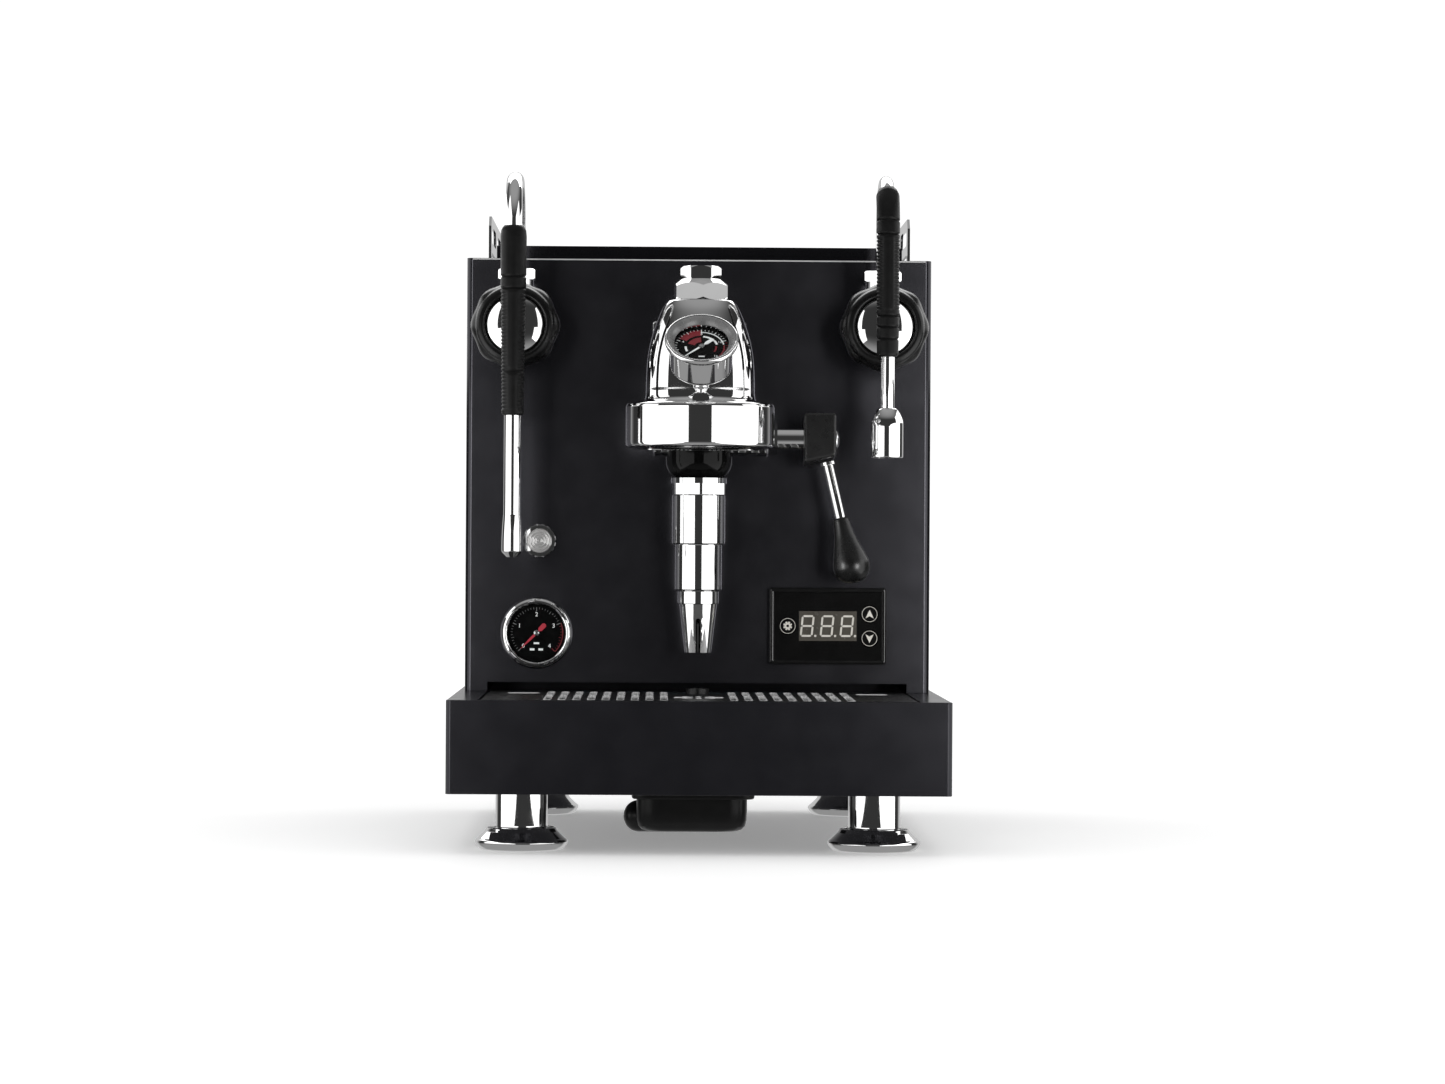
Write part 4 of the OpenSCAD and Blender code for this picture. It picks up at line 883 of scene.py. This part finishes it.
lens_low, lens_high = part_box("power_button")
lens_front = (panel_y - lens_low.y) / MM
lens_back = (panel_y - lens_high.y) / MM
lens_r = (lens_high.x - lens_low.x) / 2 / MM
# Ring-shaped ripples on a shallow dome.
ripples = [(lens_r * (1 - k / 60), lens_front - 1.1 + 0.9 * k / 60 + 0.34 * math.cos(k * TAU / 15))
           for k in range(3, 58)]
lens_profile = [(0, lens_back), (6.5, lens_back), (6.5, 4.2),
                (lens_r, 4.3), (lens_r, lens_front - 1.6), *ripples, (0, lens_front - 0.1)]
lens = middle("power_button")
at_power = Matrix.Translation((lens.x, panel_y, lens.z)) @ FRONT
piece("power_lens", turned(lens_profile, 96), lens_clear, "power_button", at_power, ["power_button"])


# ---- Display frame and rims of the grate's slots ----

frame_low, frame_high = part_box("display_housing")
frame_w = (frame_high.x - frame_low.x) / MM
frame_h = (frame_high.z - frame_low.z) / MM
frame_front = (panel_y - frame_low.y) / MM
# (height, inset, corner radius), up the outside and down the inside
frame_sections = [(0, -0.05, 1.6), (frame_front - 1.1, -0.05, 1.6), (frame_front - 0.5, 0.12, 1.5),
                  (frame_front - 0.1, 0.5, 1.3), (frame_front + 0.05, 1.0, 1.1),
                  (frame_front + 0.05, 2.3, 0.9), (frame_front - 0.2, 2.8, 0.8),
                  (frame_front - 0.95, 3.05, 0.7), (0.1, 3.05, 0.7)]
frame_loops = [[(x, y, z) for x, y in rounded_loop(frame_w - 2 * inset, frame_h - 2 * inset, radius)]
               for z, inset, radius in frame_sections]
housing = middle("display_housing")
at_housing = Matrix.Translation((housing.x, panel_y, housing.z)) @ FRONT
piece("display_frame", rings(frame_loops), gloss_black, "machine", at_housing)


# (height over the grate, inset from the slot's wall)
RIM_SECTIONS = ((-1.9, 0.02), (0.12, 0.02), (0.22, 0.2), (0.12, 0.5), (-1.9, 0.5))


def slot_rim(x, y, w, length, turn=0):
    """Light-grey rim inside a slot of the grate, standing a hair proud of its top: a painted highlight on the
    slot's edge.
    """
    loops = []
    for z, inset in RIM_SECTIONS:
        loop = rounded_loop(w - 2 * inset, length - 2 * inset, w / 2 - inset - 0.01, 5)
        loops.append([(px, py, z) for px, py in loop])
    return moved(rings(loops), shift(x, y, 0) @ spin(turn, "Z"))


# The CAD grate's slots: two rows of nine and a wide one on each side, and a rosette in the middle.
SLOT_START = 22
SLOT_PITCH = 9.15
SLOT_ROWS = ((48, 72), (119, 52))
WIDE_SLOT = (113, 122)
ROSETTE_SLOTS = 10
ROSETTE_Y = 58
ROSETTE_RADIUS = 12
grate_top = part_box("drip_tray_front")[1].z
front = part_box("drip_tray_front")[0].y / MM
rims = [slot_rim(side * (SLOT_START + column * SLOT_PITCH), front + row_y, 5, length)
        for side in (-1, 1) for row_y, length in SLOT_ROWS for column in range(9)]
rims += [slot_rim(side * WIDE_SLOT[0], front + WIDE_SLOT[1], 11, 21, 90) for side in (-1, 1)]
for k in range(ROSETTE_SLOTS):
    degrees = 360 / ROSETTE_SLOTS * k
    a = math.radians(degrees + 90)
    x, y = ROSETTE_RADIUS * math.cos(a), ROSETTE_Y + ROSETTE_RADIUS * math.sin(a)
    rims.append(slot_rim(x, front + y, 3.6, 9, degrees))
# The rims are painted highlights on the slots' edges.
piece("grate_slot_rims", joined(*rims), painted_edge_highlight, "grate",
      Matrix.Translation((0, 0, grate_top)))


# ---- Feet and drain bowl ----

FOOT_RADIUS = 29.5
base_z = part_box("base_frame")[0].z / MM
foot_rim = smooth([(26.6, 0.6), (28.2, 2.2), (29.3, 4.0), (FOOT_RADIUS, 5.1), (28.9, 6.2), (27.6, 7.2)])
foot_waist = smooth([(23.4, 11.3), (22.6, 12.6), (21.9, 13.7), (20.6, 14.0)], 4)
foot_profile = [(0, 0), (25, 0), *foot_rim, *foot_waist, (17.6, 14.1), (16.7, 14.5), (16.5, 15.3),
                (16.5, base_z - 0.01), (0, base_z - 0.01)]
feet_low, feet_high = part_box("feet")
foot_inset = FOOT_RADIUS * MM
foot_places = [(x, y) for x in (feet_low.x + foot_inset, feet_high.x - foot_inset)
               for y in (feet_low.y + foot_inset, feet_high.y - foot_inset)]
for k, (x, y) in enumerate(foot_places):
    piece(f"foot_{k + 1}", turned(foot_profile, 112), chrome, "machine",
          Matrix.Translation((x, y, 0)), ["feet"] if k == 0 else [])

# Sections of (height, inset) from the bowl's outline, then of its rim, and a spigot to the left.
SPIGOT_Z = 17.6
at_drain = Matrix.Translation((0, middle("drain_bowl").y, 0))
bowl_sections = [(8.5, 9), (8.8, 6), (9.9, 3.2), (12.2, 1.2), (16, 0.3), (22, 0), (30, 0)]
bowl_loops = [[(x - 3.6, y, z) for x, y in rounded_loop(71.4 - 2 * inset, 52 - 2 * inset, 12)]
              for z, inset in bowl_sections]
rim_sections = [(30, 1), (30.6, 0.2), (31.4, 0), (38, 0)]
rim_loops = [[(x - 2.8, y, z) for x, y in rounded_loop(79 - 2 * inset, 60 - 2 * inset, 8)]
             for z, inset in rim_sections]
spigot_end = smooth([(2.5, -47.4), (6.2, -45.7), (9.0, -42.6), (10.2, -38.9), (10.3, -36.3)])
spigot = turned([(0, -47.6), *spigot_end, (10.3, -4), (0, -4)], 48)
piece("drain_cup", joined(rings(bowl_loops, False, True), rings(rim_loops, False, True),
                          moved(spigot, shift(0, 0, SPIGOT_Z) @ spin(90, "Y"))),
      black_plastic, "machine", at_drain, ["drain_bowl"])


# ---- Camera, lights and floor ----

CAMERA_PLACE = (-0.02677, -2.78485, 0.19728)
CAMERA_TURN = (0.9015, -0.0403, 0.3481)
CAMERA_LENS = 103.1


def make_camera():
    """Camera at the photograph's angle: almost level, almost straight in front."""
    yaw, pitch, roll = (math.radians(a) for a in CAMERA_TURN)
    forward = Vector((math.sin(yaw) * math.cos(pitch), math.cos(yaw) * math.cos(pitch), math.sin(pitch)))
    level = Vector((math.cos(yaw), -math.sin(yaw), 0))
    over = level.cross(forward)
    right = level * math.cos(roll) + over * math.sin(roll)
    up = over * math.cos(roll) - level * math.sin(roll)
    data = bpy.data.cameras.new("camera")
    data.sensor_width = 36
    data.lens = CAMERA_LENS
    camera = bpy.data.objects.new("camera", data)
    bpy.context.scene.collection.objects.link(camera)
    turn = Matrix((right, up, -forward)).transposed().to_4x4()
    camera.matrix_world = Matrix.Translation(CAMERA_PLACE) @ turn
    bpy.context.scene.camera = camera


def softbox(name, place, target, width, height, power, roll=0, only=()):
    """Area light aimed at a target, for the given objects only, or for everything but the floor."""
    data = bpy.data.lights.new(name, "AREA")
    data.shape = "RECTANGLE"
    data.size = width
    data.size_y = height
    data.energy = power
    light = bpy.data.objects.new(name, data)
    light.visible_camera = False
    bpy.context.scene.collection.objects.link(light)
    place = Vector(place)
    turn = (place - Vector(target)).to_track_quat("Z", "Y").to_matrix().to_4x4()
    light.matrix_world = Matrix.Translation(place) @ turn @ spin(roll, "Z")
    receivers = bpy.data.collections.new(f"{name}_receivers")
    for thing in only or [floor]:
        receivers.objects.link(thing)
    if not only:
        receivers.collection_objects[0].light_linking.link_state = "EXCLUDE"
    light.light_linking.receiver_collection = receivers


MIRROR_DARK = 0.035
# (axis, where it starts, where it is full, strength): behind, above and below.
MIRROR_LIGHT = (("Y", 0.55, 0.85, 0.55), ("Z", 0.45, 0.95, 0.32), ("Z", -0.1, -0.6, 0.30))


def make_world():
    """White backdrop. Mirrors see it dark in front, light grey behind, and darker grey above and below."""
    world = bpy.data.worlds.new("world")
    bpy.context.scene.world = world
    world.use_nodes = True
    world.cycles.sampling_method = "NONE"
    tree = world.node_tree
    seen = tree.nodes["Background"]
    mirrored = tree.nodes.new("ShaderNodeBackground")
    mix = tree.nodes.new("ShaderNodeMixShader")
    path = tree.nodes.new("ShaderNodeLightPath")
    coords = tree.nodes.new("ShaderNodeTexCoord")
    split = tree.nodes.new("ShaderNodeSeparateXYZ")
    tree.links.new(coords.outputs["Generated"], split.inputs["Vector"])
    level = None
    for axis, start, end, strength in MIRROR_LIGHT:
        fade = tree.nodes.new("ShaderNodeMapRange")
        fade.interpolation_type = "SMOOTHSTEP"
        fade.inputs["From Min"].default_value = start
        fade.inputs["From Max"].default_value = end
        fade.inputs["To Min"].default_value = MIRROR_DARK
        fade.inputs["To Max"].default_value = strength
        tree.links.new(split.outputs[axis], fade.inputs["Value"])
        if level is None:
            level = fade.outputs["Result"]
            continue
        larger = tree.nodes.new("ShaderNodeMath")
        larger.operation = "MAXIMUM"
        tree.links.new(level, larger.inputs[0])
        tree.links.new(fade.outputs["Result"], larger.inputs[1])
        level = larger.outputs["Value"]
    tree.links.new(level, mirrored.inputs["Strength"])
    seen.inputs["Color"].default_value = (1, 1, 1, 1)
    seen.inputs["Strength"].default_value = 1.08
    mirrored.inputs["Color"].default_value = (1, 1, 1, 1)
    tree.links.new(path.outputs["Is Glossy Ray"], mix.inputs["Fac"])
    tree.links.new(seen.outputs["Background"], mix.inputs[1])
    tree.links.new(mirrored.outputs["Background"], mix.inputs[2])
    tree.links.new(mix.outputs["Shader"], tree.nodes["World Output"].inputs["Surface"])


def make_floor():
    """White floor from halfway to the camera to far behind the machine. Chrome doesn't mirror it."""
    reach = 14
    near = -1.35
    mesh = bpy.data.meshes.new("floor")
    corners = [(-reach, near, 0), (reach, near, 0), (reach, reach, 0), (-reach, reach, 0)]
    mesh.from_pydata(corners, [], [(0, 1, 2, 3)])
    floor = bpy.data.objects.new("floor", mesh)
    floor.visible_glossy = False
    bpy.context.scene.collection.objects.link(floor)
    white = surface("floor_white", grey(0.86), grey(0.88), (0.6, 0.7), patch=3, depth=0, specular=0.1)
    shader = white.node_tree.nodes["Principled BSDF"]
    shader.inputs["Emission Color"].default_value = (1, 1, 1, 1)
    shader.inputs["Emission Strength"].default_value = 0.25
    floor.data.materials.append(white)
    return floor


make_camera()
make_world()
floor = make_floor()

# Long boxes at both sides, low in front and high beside the machine, put the white stripes on the chrome.
softbox("left_front_box", (-0.34, -0.66, 0.155), (0, -0.66, 0.155), 1.08, 0.32, 1.55, 1.3)
softbox("right_front_box", (0.32, -0.66, 0.155), (0, -0.66, 0.155), 1.08, 0.32, 1.75, -1.3)
softbox("left_side_box", (-0.50, 0.11, 0.4475), (0, 0.11, 0.4475), 0.86, 0.265, 0.95)
softbox("right_side_box", (0.50, 0.11, 0.4475), (0, 0.11, 0.4475), 0.86, 0.265, 0.95)
softbox("back_top_box", (0, 0.9, 1.3), (0, 0, 0.3), 1.8, 0.9, 14)

# Boxes for single objects: the high chrome, the top nut, the handle and the dark sheet metal.
high_chrome = [bpy.data.objects["steam_knob_disc"], bpy.data.objects["water_knob_disc"]]
high_chrome += [nodes[name] for name in ("steam_pipe", "water_pipe", "valve_bodies", "wand_nuts")]
cap_nut = [nodes["group_cap_nut"]]
for side in (-1, 1):
    softbox(f"knob_box_{side}", (side * 0.58, -0.72, 0.55), (0, -0.72, 0.55), 1.1, 0.9, 4.2, only=high_chrome)
    softbox(f"nut_box_{side}", (side * 0.58, -0.72, 0.45), (0, -0.72, 0.45), 0.9, 0.5, 0.7, only=cap_nut)
handle = [bpy.data.objects["lever_handle"]]
softbox("left_handle_box", (-0.62, -0.55, 0.19), (0.07, -0.11, 0.18), 0.25, 0.38, 3.0, only=handle)
softbox("right_handle_box", (0.54, -0.76, 0.19), (0.07, -0.11, 0.18), 0.25, 0.38, 3.0, only=handle)
blacks = [nodes["front_panel"], nodes["drip_tray_front"], nodes["base_frame"]]
blacks.append(bpy.data.objects["display_frame"])
softbox("left_panel_box", (-0.53, -1.55, 0.3), (-0.1, -0.05, 0.3), 0.36, 0.8, 4.0, only=blacks)
softbox("right_panel_box", (0.53, -1.55, 0.3), (0.1, -0.05, 0.3), 0.36, 0.8, 5.0, only=blacks)
bpy.context.scene.view_settings.view_transform = "Standard"
